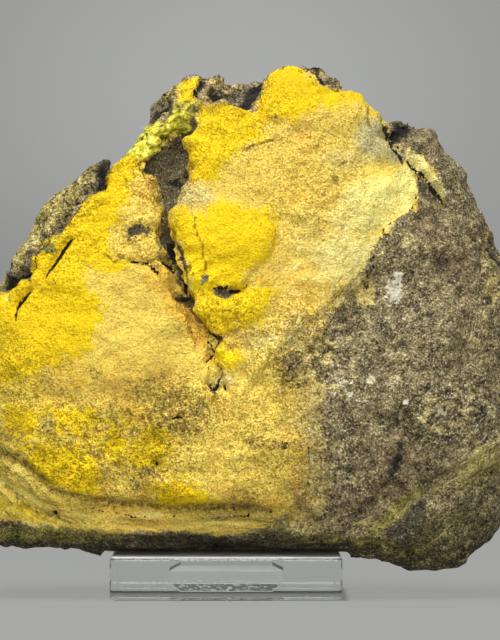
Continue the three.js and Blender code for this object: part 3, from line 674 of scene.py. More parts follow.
@dataclass
class FineSurface:
    """Closed surface as points in millimetres and quads, with named marks at its points."""

    points: np.ndarray
    quads: np.ndarray
    marks: dict[str, np.ndarray] = field(default_factory=dict)

    def edges(self) -> np.ndarray:
        """Lists each edge once, as a pair of point numbers."""
        sides = [self.quads[:, [side, (side + 1) % 4]] for side in range(4)]
        return np.unique(np.sort(np.concatenate(sides), axis=1), axis=0)

    def normals(self) -> np.ndarray:
        """Finds the outward direction at each point.

        Returns:
            The directions, one per row and of length 1.
        """
        corners = self.points[self.quads]
        faces = np.cross(corners[:, 2] - corners[:, 0], corners[:, 3] - corners[:, 1])
        sums = np.zeros_like(self.points)
        for axis in range(3):
            weights = np.repeat(faces[:, axis], 4)
            sums[:, axis] = np.bincount(self.quads.ravel(), weights, len(self.points))
        return sums / np.maximum(np.linalg.norm(sums, axis=1), 1e-12)[:, None]

    def smooth(self, steps: tuple[float, ...], shares: np.ndarray | float = 1.0) -> None:
        """Moves each point towards the middle of its neighbours, or away from it.

        Args:
            steps: Share of the way for each step; a negative one gives back the size that others took.
            shares: How far each point takes part, 0 to 1.
        """
        pairs = self.edges()
        ends = np.concatenate((pairs[:, 0], pairs[:, 1]))
        others = np.concatenate((pairs[:, 1], pairs[:, 0]))
        counts = np.maximum(np.bincount(ends, minlength=len(self.points)), 1)
        for step in steps:
            sums = [np.bincount(ends, self.points[others, axis], len(self.points)) for axis in range(3)]
            middles = np.stack(sums, axis=1) / counts[:, None]
            self.points += (step * shares) * (middles - self.points)

    def keep_largest(self) -> None:
        """Drops everything but the outer surface."""
        pairs = self.edges()
        label = np.arange(len(self.points))
        while True:
            lowest = label.copy()
            np.minimum.at(lowest, pairs[:, 0], label[pairs[:, 1]])
            np.minimum.at(lowest, pairs[:, 1], label[pairs[:, 0]])
            lowest = lowest[lowest]
            if np.array_equal(lowest, label):
                break
            label = lowest
        outer = np.bincount(label).argmax()
        self.quads = self.quads[label[self.quads[:, 0]] == outer]
        used = np.unique(self.quads)
        renumber = np.full(len(self.points), -1)
        renumber[used] = np.arange(len(used))
        self.points = self.points[used]
        self.quads = renumber[self.quads]

    def points_of(self, chosen: np.ndarray) -> np.ndarray:
        """Tells which points belong to chosen quads.

        Args:
            chosen: True at the chosen quads.

        Returns:
            True at their points.
        """
        found = np.zeros(len(self.points), bool)
        found[self.quads[chosen]] = True
        return found

    def steps_from(self, seeds: np.ndarray, most: int) -> np.ndarray:
        """Counts the edges between each point and the nearest seed.

        Args:
            seeds: True at the points to count from.
            most: Largest count.

        Returns:
            The count for each point.
        """
        pairs = self.edges()
        steps = np.where(seeds, 0, most)
        for _ in range(most):
            near = np.minimum(steps[pairs[:, 0]], steps[pairs[:, 1]]) + 1
            np.minimum.at(steps, pairs[:, 0], near)
            np.minimum.at(steps, pairs[:, 1], near)
        return steps


def surface_of(names: tuple[str, ...], voxel: float) -> FineSurface:
    """Joins CAD nodes and remeshes them as one fine surface.

    Args:
        names: Names of the nodes.
        voxel: Size of the remesh's cells in millimetres.

    Returns:
        The outer surface.
    """
    joined = bmesh.new()
    for name in names:
        joined.from_mesh(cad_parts[name].data)
    bmesh.ops.remove_doubles(joined, verts=joined.verts, dist=1e-7)
    mesh = bpy.data.meshes.new("joined_nodes")
    joined.to_mesh(mesh)
    joined.free()
    source = add_object("joined_nodes", mesh)
    remesh = source.modifiers.new("remesh", "REMESH")
    remesh.mode = "VOXEL"
    remesh.voxel_size = voxel * MM
    fine = bpy.data.meshes.new_from_object(source.evaluated_get(bpy.context.evaluated_depsgraph_get()))
    points = np.empty(len(fine.vertices) * 3)
    fine.vertices.foreach_get("co", points)
    quads = np.empty(len(fine.loops), np.int64)
    fine.loops.foreach_get("vertex_index", quads)
    bpy.data.objects.remove(source)
    bpy.data.meshes.remove(fine)
    surface = FineSurface(points.reshape(-1, 3) / MM, quads.reshape(-1, 4))
    surface.keep_largest()
    return surface


@dataclass(frozen=True)
class Heights:
    """Heights of the parts of the relief, in millimetres."""

    swell: float = 0.4
    swell_of_rock: float = 0.3
    lump: float = 0.55
    grain: float = 0.4
    ridge_base: float = 0.4
    ridge: float = 1.0
    fine_ridge: float = 0.5
    moss: float = 0.9
    moss_grain: float = 0.5
    coarse_lump: float = 0.35
    coarse_grain: float = 0.55
    layer: float = 1.3
    fine_layer: float = 0.35
    rim: float = 1.2
    broad_rim: float = 1.0
    plates: tuple[float, ...] = (0.85, 0.6, 0.5, 0.7, 0.45)


@dataclass(frozen=True)
class Cut:
    """What a mark cuts into the surface: its depth, how ragged its edge is, and where its slope runs."""

    mark: str
    depth: float
    raggedness: float
    slope: Pair


@dataclass
class SpecimenSurface:
    """The rock and its crust as one surface, with relief and with marks for its colours.

    Lengths are in millimetres, and heights are above the surface that the block stands on.
    """

    view: PhotoView
    voxel: float = 0.72
    smoothing: tuple[float, ...] = (0.5, -0.52) * 7
    filling: tuple[float, ...] = (0.9,) * 120
    crust_wraps_to: float = 8.0
    wrap_fade: float = 8.0
    bright_wrap: float = 6.0
    wander: float = 9.0
    fine_wander: float = 4.0
    unseen_shrink: float = 4.0
    unseen_crack_shrink: float = 2.0
    crack_margin: float = 0.12
    hollow_surround: Pair = (-2.2, -0.3)
    bright_surround: float = 0.25
    heights: Heights = field(default_factory=Heights)
    raggedness: float = 0.45
    layer_stretch: Pair = (0.14, 0.3)
    rim_width: Triple = (0.6, 0.6, 3.2)
    plate_slope: Pair = (-0.35, 0.55)
    cuts: tuple[Cut, ...] = (
        Cut("hollow", 1.7, 1.0, (-0.4, 1.4)), Cut("crack", 1.1, 0.3, (-0.7, 0.1)),
        Cut("groove_with_shade", 1.0, 0.4, (-0.9, 0.4)),
    )
    block_middle: float = -1.15
    block_reach: float = 27.0
    rest_height: float = 9.8
    foot_fade: Pair = (0.4, 3.0)
    front_lift: float = 1.3
    lift_fade: Pair = (0.5, 5.0)
    lift_start: Pair = (6.0, 15.0)

    def build(self) -> FineSurface:
        """Makes the surface.

        Returns:
            The surface, with its relief and marks.
        """
        surface = surface_of(("matrix_rock", "uranopilite_crust"), self.voxel)
        surface.marks["crust"] = self.nearer_to_crust(surface.points)
        surface.smooth(self.smoothing)
        self.fill_fissure(surface)
        self.mark(surface)
        self.raise_relief(surface)
        return surface

    def nearer_to_crust(self, points: np.ndarray) -> np.ndarray:
        """Tells which points belong to the crust.

        Args:
            points: Points in millimetres.

        Returns:
            1 where the crust's node is nearer than the rock's, else 0.
        """
        distances = []
        for name in ("uranopilite_crust", "matrix_rock"):
            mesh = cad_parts[name].data
            tree = BVHTree.FromPolygons([v.co for v in mesh.vertices], [p.vertices for p in mesh.polygons])
            distances.append(np.array([tree.find_nearest(point)[3] for point in (points * MM).tolist()]))
        return (distances[0] < distances[1]).astype(float)

    def fill_fissure(self, surface: FineSurface) -> None:
        """Levels the fissure where it is only a crack or a shallow granular hollow.

        Args:
            surface: The surface to work on.
        """
        filled = deepest(FILLED_COURSES, self.view.pixels(surface.points), self.view.mm_per_pixel)
        in_front = smoothstep(-surface.points[:, 1], -2, 4)
        surface.smooth(self.filling, (smoothstep(filled, 0.0, 0.8) * in_front)[:, None])

    def mark(self, surface: FineSurface) -> None:
        """Measures the marks of the photograph's face at every point.

        Args:
            surface: The surface to mark.
        """
        pixels = self.view.pixels(surface.points)
        facing = self.view.facing(surface.normals())
        wander = (self.wander * Ripple.WANDER.at(surface.points)
                  + self.fine_wander * Ripple.FINE_WANDER.at(surface.points))
        behind = surface.points[:, 1] - self.crust_wraps_to + wander
        self.mark_shapes(surface.marks, pixels, facing, behind)
        self.mark_spots(surface.marks, pixels, facing, behind)

    def mark_shapes(self, marks: dict, pixels: np.ndarray, facing: np.ndarray, behind: np.ndarray) -> None:
        """Measures the marks that have an outline, in millimetres inside it.

        Args:
            marks: Marks to add to.
            pixels: Where the points lie in the photograph.
            facing: How far the surface faces the camera, -1 to 1.
            behind: How far the points lie behind the crust's usual edge.
        """
        scale = self.view.mm_per_pixel
        unseen = 1 - smoothstep(facing, -0.05, 0.15)
        marks["bare"] = np.maximum(-deepest(CRUST_AREA, pixels, scale), behind)
        marks["bright"] = np.minimum(deepest(BRIGHT_PATCHES, pixels, scale), self.bright_wrap - behind)
        for name, shapes in SHAPES_OF_MARKS.items():
            marks[name] = deepest(shapes, pixels, scale) - self.unseen_shrink * unseen
        for name, shapes in CRACKS_OF_MARKS.items():
            width = deepest(shapes, pixels, scale) + self.crack_margin
            marks[name] = width - self.unseen_crack_shrink * unseen
        marks["layer"] = deepest(LAYER_LINES, pixels, scale)
        marks["painted_shade"] = UNDERSIDE_SHADE.depth_inside(pixels) * scale
        marks["behind"] = smoothstep(behind, -2, 4)

    def mark_spots(self, marks: dict, pixels: np.ndarray, facing: np.ndarray, behind: np.ndarray) -> None:
        """Measures the soft marks, from 0 to about 1.

        Args:
            marks: Marks to add to.
            pixels: Where the points lie in the photograph.
            facing: How far the surface faces the camera, -1 to 1.
            behind: How far the points lie behind the crust's usual edge.
        """
        shown = smoothstep(facing, -0.4, -0.1) * (1 - smoothstep(behind, 0, self.wrap_fade))
        for name, group in SPOTS_OF_MARKS.items():
            marks[name] = strongest(group, pixels) * shown
        # painted light and shade, as a signed strength
        marks["painted_light_and_shade"] = np.sum([spot.strength_at(pixels) for spot in PAINTED_LIGHT_AND_SHADE_SPOTS], axis=0) * shown
        plain = 1 - smoothstep(marks["bright"], -0.5, 0.5)
        marks["layered"] *= plain
        near = smoothstep(marks["hollow"], *self.hollow_surround)
        marks["near_hollow"] = near * (self.bright_surround + (1 - self.bright_surround) * plain)

    def raise_relief(self, surface: FineSurface) -> None:
        """Moves the surface's points to give it lumps, plates, hollows, grooves and cracks.

        Args:
            surface: The surface to work on.
        """
        points, normals = surface.points, surface.normals()
        ragged = self.raggedness * Ripple.RAGGED.at(points)
        height = self.lumps(points, surface.marks) + self.plates(points, normals, ragged)
        for cut in self.cuts:
            height -= cut.depth * smoothstep(surface.marks[cut.mark] + cut.raggedness * ragged, *cut.slope)
        over_block = np.abs(points[:, 0] - self.block_middle) < self.block_reach
        above_rest = points[:, 2] - self.rest_height
        foot = over_block & (above_rest < self.foot_fade[1])
        height *= np.where(foot, smoothstep(above_rest, *self.foot_fade), 1.0)
        surface.points = points + normals * height[:, None]
        low = 1 - smoothstep(above_rest, *self.lift_fade)
        lift = self.front_lift * low * smoothstep(-points[:, 1], *self.lift_start)
        surface.points[:, 2] += np.where(over_block, lift, 0.0)

    def lumps(self, points: np.ndarray, marks: dict[str, np.ndarray]) -> np.ndarray:
        """Gives the height of the lumps, ridges, tufts, layers and hollow rims.

        Args:
            points: Points in millimetres.
            marks: Marks at the points.

        Returns:
            The height at each point.
        """
        high = self.heights
        bare = smoothstep(marks["bare"], -0.8, 0.8)
        lump, grain = Ripple.LUMP.at(points), Ripple.GRAIN.at(points)
        total = (high.swell + high.swell_of_rock * bare) * Ripple.SWELL.at(points)
        total += high.lump * lump + high.grain * grain
        ridges = high.ridge * np.abs(Ripple.RIDGE.at(points))
        fine_ridges = high.fine_ridge * np.abs(Ripple.FINE_RIDGE.at(points))
        total += bare * (high.ridge_base - ridges + fine_ridges)
        total += marks["mossy"] * (high.moss * np.abs(Ripple.MOSS.at(points)) + high.moss_grain * grain)
        coarse = high.coarse_lump * lump - high.coarse_grain * np.abs(grain)
        total += (1 - bare) * marks["coarse"] * coarse
        across, along = self.layer_stretch
        stretched = np.stack((points[:, 0] * across, points[:, 1] * along, marks["layer"]), axis=1)
        layers = high.layer * Ripple.LAYER.at(stretched) + high.fine_layer * Ripple.FINE_LAYER.at(stretched)
        total += marks["layered"] * layers
        outside, start, end = self.rim_width
        rim = 1 - smoothstep(np.abs(marks["hollow"] + outside), start, end)
        total += rim * (high.rim * Ripple.RIM.at(points) + high.broad_rim * Ripple.BROAD_RIM.at(points))
        return total

    def plates(self, points: np.ndarray, normals: np.ndarray, ragged: np.ndarray) -> np.ndarray:
        """Gives the height of the crust's plates.

        Args:
            points: Points in millimetres.
            normals: Outward directions at the points.
            ragged: How far the plates' edges move at the points.

        Returns:
            The height at each point.
        """
        pixels = self.view.pixels(points)
        shown = smoothstep(self.view.facing(normals), 0.05, 0.35)
        total = np.zeros(len(points))
        for plate, raised in zip(PLATES, self.heights.plates):
            inside = plate.depth_inside(pixels) * self.view.mm_per_pixel + ragged
            total += raised * shown * smoothstep(inside, *self.plate_slope)
        return total


# Pieces


def add_piece(name: str, points: np.ndarray, faces: np.ndarray, marks: dict[str, np.ndarray]) -> Thing:
    """Makes a smooth mesh object with its marks as point attributes.

    Args:
        name: Name of the piece.
        points: Points in millimetres.
        faces: Quads as point numbers.
        marks: Values at the points, by name.

    Returns:
        The object, in the scene.
    """
    mesh = bpy.data.meshes.new(name)
    mesh.vertices.add(len(points))
    mesh.vertices.foreach_set("co", (points * MM).ravel())
    mesh.loops.add(faces.size)
    mesh.loops.foreach_set("vertex_index", faces.ravel())
    mesh.polygons.add(len(faces))
    mesh.polygons.foreach_set("loop_start", np.arange(len(faces)) * faces.shape[1])
    mesh.update(calc_edges=True)
    mesh.validate()
    mesh.shade_smooth()
    for mark, values in marks.items():
        attribute = mesh.attributes.new(mark, "FLOAT", "POINT")
        attribute.data.foreach_set("value", values.astype(np.float32))
    return add_object(name, mesh)


@dataclass
class CrustAndRock:
    """The two natural pieces, cut from one surface so that no seam shows between them.

    The sinks and the backs say how deep the rock and the crust's back lie, in millimetres, at each step
    from the crust's edge.
    """

    surface: FineSurface
    rock_sinks: tuple[float, ...] = (0.0, 0.12, 0.32, 0.5, 0.6)
    crust_backs: tuple[float, ...] = (0.0, 0.06, 0.18, 0.3, 0.4)
    edge_cleanings: int = 6

    def build(self) -> tuple[Thing, Thing]:
        """Makes the rock and the crust.

        Returns:
            The rock and the crust, each riding on the body and standing for its node.
        """
        surface = self.surface
        is_crust = surface.marks["crust"][surface.quads].min(axis=1) > 0.5
        for _ in range(self.edge_cleanings):
            is_crust &= ~surface.points_of(~is_crust)[surface.quads].all(axis=1)
        steps = surface.steps_from(surface.points_of(~is_crust), len(self.rock_sinks) - 1)
        rock = self.build_rock(surface.points_of(is_crust), steps)
        crust = self.build_crust(is_crust, steps)
        return rock, crust

    def build_rock(self, under_crust: np.ndarray, steps: np.ndarray) -> Thing:
        """Makes the rock, sunk a little under the crust.

        Args:
            under_crust: True at the points that the crust covers.
            steps: Each point's distance from the crust's edge.

        Returns:
            The rock.
        """
        surface = self.surface
        sink = np.array(self.rock_sinks)[steps] * under_crust
        points = surface.points - surface.normals() * sink[:, None]
        rock = add_piece("rock", points, surface.quads, surface.marks)
        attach(rock, "root")
        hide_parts("matrix_rock")
        return rock

    def build_crust(self, is_crust: np.ndarray, steps: np.ndarray) -> Thing:
        """Makes the crust as a thin skin that closes at its edge.

        Args:
            is_crust: True at the quads of the crust.
            steps: Each point's distance from the crust's edge.

        Returns:
            The crust.
        """
        surface = self.surface
        quads = surface.quads[is_crust]
        used = np.unique(quads)
        front_number = np.full(len(surface.points), -1)
        front_number[used] = np.arange(len(used))
        inner = used[steps[used] > 0]
        back_number = front_number.copy()
        back_number[inner] = len(used) + np.arange(len(inner))
        normals = surface.normals()
        depth = np.array(self.crust_backs)[steps[inner]]
        sunk = surface.points[inner] - normals[inner] * depth[:, None]
        points = np.concatenate((surface.points[used], sunk))
        faces = np.concatenate((front_number[quads], back_number[quads][:, ::-1]))
        both = np.concatenate((used, inner))
        marks = {name: values[both] for name, values in surface.marks.items()}
        crust = add_piece("crust", points, faces, marks)
        directions = np.concatenate((normals[used], -normals[inner]))
        crust.data.normals_split_custom_set_from_vertices(directions.tolist())
        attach(crust, "root")
        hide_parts("uranopilite_crust")
        return crust

    def dress(self, rock: Thing, crust: Thing) -> None:
        """Gives rock and crust their finishes, which share one group of colours and relief.

        Args:
            rock: The rock.
            crust: The crust.
        """
        look = SurfaceFinish().build()
        rock.data.materials.append(NaturalFinish("matrix_rock", 0.44, 0.6, 1.0, 0.3).material(look))
        crust.data.materials.append(NaturalFinish("uranopilite_crust", 0.45, 0.55, 1.0, 0.15).material(look))


def rise_of(edge: bmesh.types.BMEdge) -> float:
    """Gives the difference in height between an edge's ends."""
    return abs(edge.verts[0].co.z - edge.verts[1].co.z)


def round_off(shape: bmesh.types.BMesh, edges: list[bmesh.types.BMEdge], radius: float, steps: int) -> None:
    """Rounds edges off, with a radius in millimetres and so many faces across."""
    bmesh.ops.bevel(shape, geom=edges, offset=radius * MM, segments=steps, affect="EDGES", profile=0.5)


@dataclass
class DisplayBlock:
    """Clear square block with softly rounded edges and a bevelled square hollow inside it.

    Each ring of the hollow is its half side and its height above the underside, in millimetres.
    """

    corner_radius: float = 1.5
    edge_radius: float = 0.9
    corner_steps: int = 8
    edge_steps: int = 6
    hollow_rings: tuple[Pair, ...] = ((10.1, 1.4), (12.55, 3.35), (12.55, 5.97), (10.1, 7.25))

    def build(self) -> Thing:
        """Makes the block in the place of its node.

        Returns:
            The block.
        """
        low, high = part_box("acrylic_block")
        shape = bmesh.new()
        bmesh.ops.create_cube(shape, size=1.0)
        bmesh.ops.scale(shape, vec=high - low, verts=shape.verts)
        bmesh.ops.translate(shape, vec=(low + high) / 2, verts=shape.verts)
        upright = [edge for edge in shape.edges if rise_of(edge) > 1e-5]
        round_off(shape, upright, self.corner_radius, self.corner_steps)
        rims = [edge for edge in shape.edges if rise_of(edge) < 1e-6
                and len({round(face.normal.z) for face in edge.link_faces}) == 2]
        round_off(shape, rims, self.edge_radius, self.edge_steps)
        for face in shape.faces:
            face.smooth = True
        self.add_hollow(shape)
        mesh = bpy.data.meshes.new("block")
        shape.to_mesh(mesh)
        shape.free()
        block = add_object("block", mesh)
        weighted = block.modifiers.new("even_shading", "WEIGHTED_NORMAL")
        weighted.keep_sharp = True
        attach(block, "root")
        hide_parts("acrylic_block")
        return block

    def foot(self) -> Vector:
        """Gives the middle of the block's underside."""
        low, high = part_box("acrylic_block")
        return Vector(((low.x + high.x) / 2, (low.y + high.y) / 2, low.z))

    def add_hollow(self, shape: bmesh.types.BMesh) -> None:
        """Adds the hollow's faces, which look inwards; its bevels take the second material.

        Args:
            shape: The block's mesh.
        """
        foot = self.foot()
        corners = ((-1, -1), (1, -1), (1, 1), (-1, 1))
        rings = [[shape.verts.new(foot + Vector((x * half, y * half, height)) * MM) for x, y in corners]
                 for half, height in self.hollow_rings]
        faces = [shape.faces.new(rings[0]), shape.faces.new(rings[-1][::-1])]
        for index, (lower, upper) in enumerate(zip(rings, rings[1:])):
            is_bevel = self.hollow_rings[index][0] != self.hollow_rings[index + 1][0]
            for side in range(4):
                after = (side + 1) % 4
                face = shape.faces.new((upper[side], upper[after], lower[after], lower[side]))
                face.material_index = int(is_bevel)
                faces.append(face)
        for face in faces:
            for edge in face.edges:
                edge.smooth = False

    def dress(self, block: Thing) -> None:
        """Gives the block its clear acrylic, and the hollow's bevels their painted reflections.

        Args:
            block: The block.
        """
        low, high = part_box("acrylic_block")
        foot = tuple(self.foot())
        side, height = (high.x - low.x) / MM, (high.z - low.z) / MM
        lower_bevel = (self.hollow_rings[0][1], self.hollow_rings[1][1])
        block.data.materials.append(AcrylicFinish(foot, side / 2, height).material())
        block.data.materials.append(BevelReflectionFinish(foot, lower_bevel).material())


# Materials

FLOAT, VECTOR, COLOUR = "NodeSocketFloat", "NodeSocketVector", "NodeSocketColor"
USUAL_NOISE = (0.28, 0.72)
SHADE_PLACES = (0.1, 0.35, 0.6, 0.9)


class Graph:
    """Short ways to add nodes to a node tree."""

    def __init__(self, tree: Tree) -> None:
        """Keeps the tree."""
        self.tree = tree

    def add(self, kind: str, inputs: dict | None = None, **settings: object) -> bpy.types.Node:
        """Adds a node.

        Args:
            kind: Type of the node.
            inputs: Values or sockets for its inputs, by name or number.
            settings: Values of the node's own settings.

        Returns:
            The node.
        """
        node = self.tree.nodes.new(kind)
        for name, value in settings.items():
            setattr(node, name, value)
        for key, value in (inputs or {}).items():
            if isinstance(value, Socket):
                self.tree.links.new(value, node.inputs[key])
            else:
                node.inputs[key].default_value = value
        return node

    def math(self, operation: str, first: object, second: object = 0.0) -> Socket:
        """Adds a Math node and gives its result."""
        return self.add("ShaderNodeMath", {0: first, 1: second}, operation=operation).outputs[0]

    def times(self, *parts: object) -> Socket:
        """Multiplies values.

        Args:
            parts: Values or sockets, the first of them a socket.

        Returns:
            Their product.
        """
        result = parts[0]
        for part in parts[1:]:
            result = self.math("MULTIPLY", result, part)
        return result

    def total(self, parts: tuple[tuple[object, float], ...]) -> Socket:
        """Adds up values.

        Args:
            parts: Values or sockets, each with its weight.

        Returns:
            The sum of the values times their weights.
        """
        result = 0.0
        for value, weight in parts:
            inputs = {0: value, 1: weight, 2: result}
            result = self.add("ShaderNodeMath", inputs, operation="MULTIPLY_ADD").outputs[0]
        return result

    def vector(self, operation: str, first: object, second: object) -> Socket:
        """Adds a Vector Math node and gives its result."""
        return self.add("ShaderNodeVectorMath", {0: first, 1: second}, operation=operation).outputs[0]

    def scaled(self, vector: object, factor: object) -> Socket:
        """Scales a vector or colour and gives the result."""
        return self.add("ShaderNodeVectorMath", {0: vector, "Scale": factor}, operation="SCALE").outputs[0]

    def place(self) -> Socket:
        """Gives the place on the object in metres."""
        return self.add("ShaderNodeTexCoord").outputs["Object"]

    def parts(self, vector: object) -> list[Socket]:
        """Gives the three parts of a vector."""
        return list(self.add("ShaderNodeSeparateXYZ", {0: vector}).outputs)

    def blend(self, share: object, first: object, second: object) -> Socket:
        """Adds a mix of two colours and gives its result."""
        node = self.add("ShaderNodeMix", {0: share, 6: first, 7: second}, data_type="RGBA")
        return node.outputs[2]

    def step(self, value: object, start: object, end: object) -> Socket:
        """Adds a smooth rise from 0 at start to 1 at end."""
        node = self.add("ShaderNodeMapRange", {0: value, 1: start, 2: end}, interpolation_type="SMOOTHSTEP")
        return node.outputs[0]

    def ramp(self, value: object, shades: Shades) -> Socket:
        """Adds a colour ramp.

        Args:
            value: Value that picks the colour.
            shades: Screen colours of the ramp, from dark to light.

        Returns:
            The colour.
        """
        node = self.add("ShaderNodeValToRGB", {0: value})
        elements = node.color_ramp.elements
        while len(elements) < len(shades):
            elements.new(0.5)
        for element, place, colour in zip(elements, SHADE_PLACES, shades):
            element.position = place
            element.color = linear(*colour)
        return node.outputs[0]

    def noise(self, place: object, scale: object, detail: float = 2.0, roughness: float = 0.5) -> Socket:
        """Adds noise and spreads it over 0 to 1.

        Args:
            place: Where to sample it.
            scale: Lumps for each millimetre.
            detail: How many finer layers it has.
            roughness: Strength of the finer layers.

        Returns:
            The noise.
        """
        inputs = {"Vector": place, "Scale": scale, "Detail": detail, "Roughness": roughness}
        return self.spread(self.add("ShaderNodeTexNoise", inputs).outputs[0])

    def spread(self, value: object) -> Socket:
        """Spreads a noise's usual values over 0 to 1."""
        low, high = USUAL_NOISE
        return self.add("ShaderNodeMapRange", {0: value, 1: low, 2: high}).outputs[0]

    def mark(self, name: str) -> Socket:
        """Reads one of the surface's marks."""
        return self.add("ShaderNodeAttribute", attribute_name=name, attribute_type="GEOMETRY").outputs["Fac"]

    def mix_shaders(self, share: object, first: bpy.types.Node, second: bpy.types.Node) -> bpy.types.Node:
        """Adds a mix of two shaders."""
        return self.add("ShaderNodeMixShader", {0: share, 1: first.outputs[0], 2: second.outputs[0]})

    def backfacing(self) -> Socket:
        """Tells whether the face is seen from its back."""
        return self.add("ShaderNodeNewGeometry").outputs["Backfacing"]


class EffectGroup(Graph):
    """Graph of a shader node group with named inputs and outputs."""

    def __init__(self, name: str, inputs: dict[str, str], outputs: dict[str, str]) -> None:
        """Starts the group.

        Args:
            name: Name of the group.
            inputs: Socket types of the inputs, by name.
            outputs: Socket types of the outputs, by name.
        """
        super().__init__(bpy.data.node_groups.new(name, "ShaderNodeTree"))
        for kinds, side in ((inputs, "INPUT"), (outputs, "OUTPUT")):
            for socket, kind in kinds.items():
                self.tree.interface.new_socket(name=socket, in_out=side, socket_type=kind)
        self.given = self.add("NodeGroupInput").outputs
        self.leave = self.add("NodeGroupOutput").inputs

    def put_out(self, results: dict[str, Socket]) -> Tree:
        """Links results to the group's outputs.

        Args:
            results: Results, by the name of their output.

        Returns:
            The finished group.
        """
        for name, result in results.items():
            self.tree.links.new(result, self.leave[name])
        return self.tree


def new_material(name: str) -> tuple[bpy.types.Material, Graph]:
    """Starts a material with no nodes.

    Args:
        name: Name of the material.

    Returns:
        The material and the graph of its nodes.
    """
    made = bpy.data.materials.new(name)
    made.use_nodes = True
    made.node_tree.nodes.clear()
    return made, Graph(made.node_tree)


def grain_group() -> Tree:
    """Makes the effect of packed grains.

    Returns:
        Group with the grains' shade, with painted shading that lights each grain's middle and darkens its
        rim, their relief, painted shade in the hollows between them, and light specks, each from 0 to 1.
    """
    graph = EffectGroup(
        "packed_grains", {"Place": VECTOR, "Grain size": FLOAT, "Clumps": FLOAT},
        {"Shade": FLOAT, "Relief": FLOAT, "Pit shade": FLOAT, "Speck": FLOAT})
    size, clumps, whole = graph.given["Grain size"], graph.given["Clumps"], graph.given["Place"]
    scale = graph.math("DIVIDE", 1.0, size)
    nudge = graph.add("ShaderNodeTexNoise", {
        "Vector": whole, "Scale": scale, "Detail": 2.0, "Roughness": 0.65})
    rough = graph.spread(nudge.outputs[0])
    place = graph.vector("ADD", whole, graph.scaled(nudge.outputs["Color"], size))
    cells = graph.add("ShaderNodeTexVoronoi", {"Vector": place, "Scale": scale})
    own = graph.add("ShaderNodeSeparateColor", {0: cells.outputs["Color"]}).outputs[0]
    distance = cells.outputs["Distance"]
    dome = graph.math("SUBTRACT", 1.0, graph.step(distance, 0.05, 0.85))
    return graph.put_out({
        # painted shading: the dome lights each grain's middle and darkens its rim
        "Shade": graph.total(((rough, 0.45), (clumps, 0.28), (own, 0.24), (dome, 0.28), (1.0, -0.13))),
        "Relief": graph.total(((rough, 0.45), (dome, 0.45))),
        # painted shade in the hollows between grains
        "Pit shade": graph.step(graph.total(((distance, 0.8), (rough, -0.8), (clumps, -0.35))), -0.12, 0.14),
        "Speck": graph.times(graph.step(own, 0.84, 0.92), graph.step(dome, 0.3, 0.7)),
    })


def ragged_group() -> Tree:
    """Makes the effect of a ragged edge round an area.

    Returns:
        Group that turns a depth inside an area into a mask.
    """
    graph = EffectGroup(
        "ragged_edge", {"Depth": FLOAT, "Wander": FLOAT, "Reach": FLOAT, "Softness": FLOAT}, {"Mask": FLOAT})
    softness = graph.given["Softness"]
    shift = graph.times(graph.math("SUBTRACT", graph.given["Wander"], 0.5), graph.given["Reach"])
    depth = graph.math("ADD", graph.given["Depth"], shift)
    return graph.put_out({"Mask": graph.step(depth, graph.times(softness, -1.0), softness)})


def mottle_group() -> Tree:
    """Makes the effect of a mark that breaks up into mottles where it is weak.

    Returns:
        Group that turns a strength of 0 to 1 into a mask.
    """
    graph = EffectGroup(
        "mottled_mark", {"Strength": FLOAT, "Wander": FLOAT, "Softness": FLOAT}, {"Mask": FLOAT})
    strength = graph.given["Strength"]
    level = graph.math("SUBTRACT", 1.0, strength)
    end = graph.math("ADD", level, graph.given["Softness"])
    mask = graph.times(graph.step(graph.given["Wander"], level, end), graph.step(strength, 0.02, 0.3))
    return graph.put_out({"Mask": mask})


@dataclass(frozen=True)
class Palette:
    """Screen colours of the specimen's surface: shades from dark to light, and single colours."""

    cream: Shades = ((160, 124, 44), (212, 178, 72), (234, 206, 94), (250, 236, 148))
    golden: Shades = ((160, 116, 40), (214, 166, 66), (236, 196, 86), (250, 226, 126))
    primrose: Shades = ((172, 152, 72), (220, 204, 112), (240, 226, 136), (250, 244, 182))
    ochre: Shades = ((128, 90, 26), (200, 152, 50), (230, 187, 70), (246, 220, 120))
    bright: Shades = ((172, 126, 8), (218, 178, 14), (234, 202, 24), (250, 232, 78))
    tufted: Shades = ((96, 78, 16), (184, 152, 30), (224, 192, 42), (250, 226, 92))
    rock: Shades = ((38, 32, 20), (96, 85, 57), (146, 131, 92), (216, 203, 162))
    warm: Shades = ((42, 33, 20), (100, 84, 57), (144, 124, 88), (204, 186, 148))
    buff: Shades = ((48, 39, 15), (138, 120, 58), (196, 177, 100), (242, 228, 162))
    hollow: Shades = ((24, 20, 13), (74, 66, 46), (122, 110, 80), (194, 182, 146))
    mossy: Shades = ((64, 58, 16), (164, 154, 42), (222, 211, 76), (246, 240, 144))
    olive: Shades = ((36, 34, 12), (84, 79, 30), (124, 116, 48), (182, 172, 92))
    band: Shades = ((52, 47, 16), (104, 97, 38), (144, 134, 58), (196, 186, 98))
    dirty: Shades = ((56, 43, 18), (128, 105, 46), (180, 154, 72), (226, 205, 122))
    dusted: Shades = ((88, 70, 30), (164, 143, 78), (198, 177, 102), (232, 214, 142))
    lichen: Shades = ((34, 31, 14), (96, 89, 38), (154, 145, 68), (212, 203, 114))
    # near-black of painted shadow in recesses
    dark: Shades = ((8, 7, 5), (24, 21, 14), (42, 38, 27), (96, 88, 66))
    grey_green: Shades = ((78, 78, 54), (144, 140, 102), (188, 182, 134), (228, 222, 176))
    # painted shade, for the underside, the shaded spots and the grooves
    painted_shade: Shades = ((5, 4, 2), (31, 27, 15), (80, 72, 43), (168, 156, 108))
    wedge: Shades = ((20, 19, 16), (42, 40, 33), (66, 62, 52), (112, 106, 90))
    # painted shade between grains and tufts
    crust_pit: Colour = (84, 62, 20)
    rock_pit: Colour = (34, 29, 20)
    speck: Colour = (222, 214, 190)
    pale: Colour = (222, 215, 190)
    hair_crack: Colour = (106, 76, 14)
    crack: Colour = (34, 25, 10)


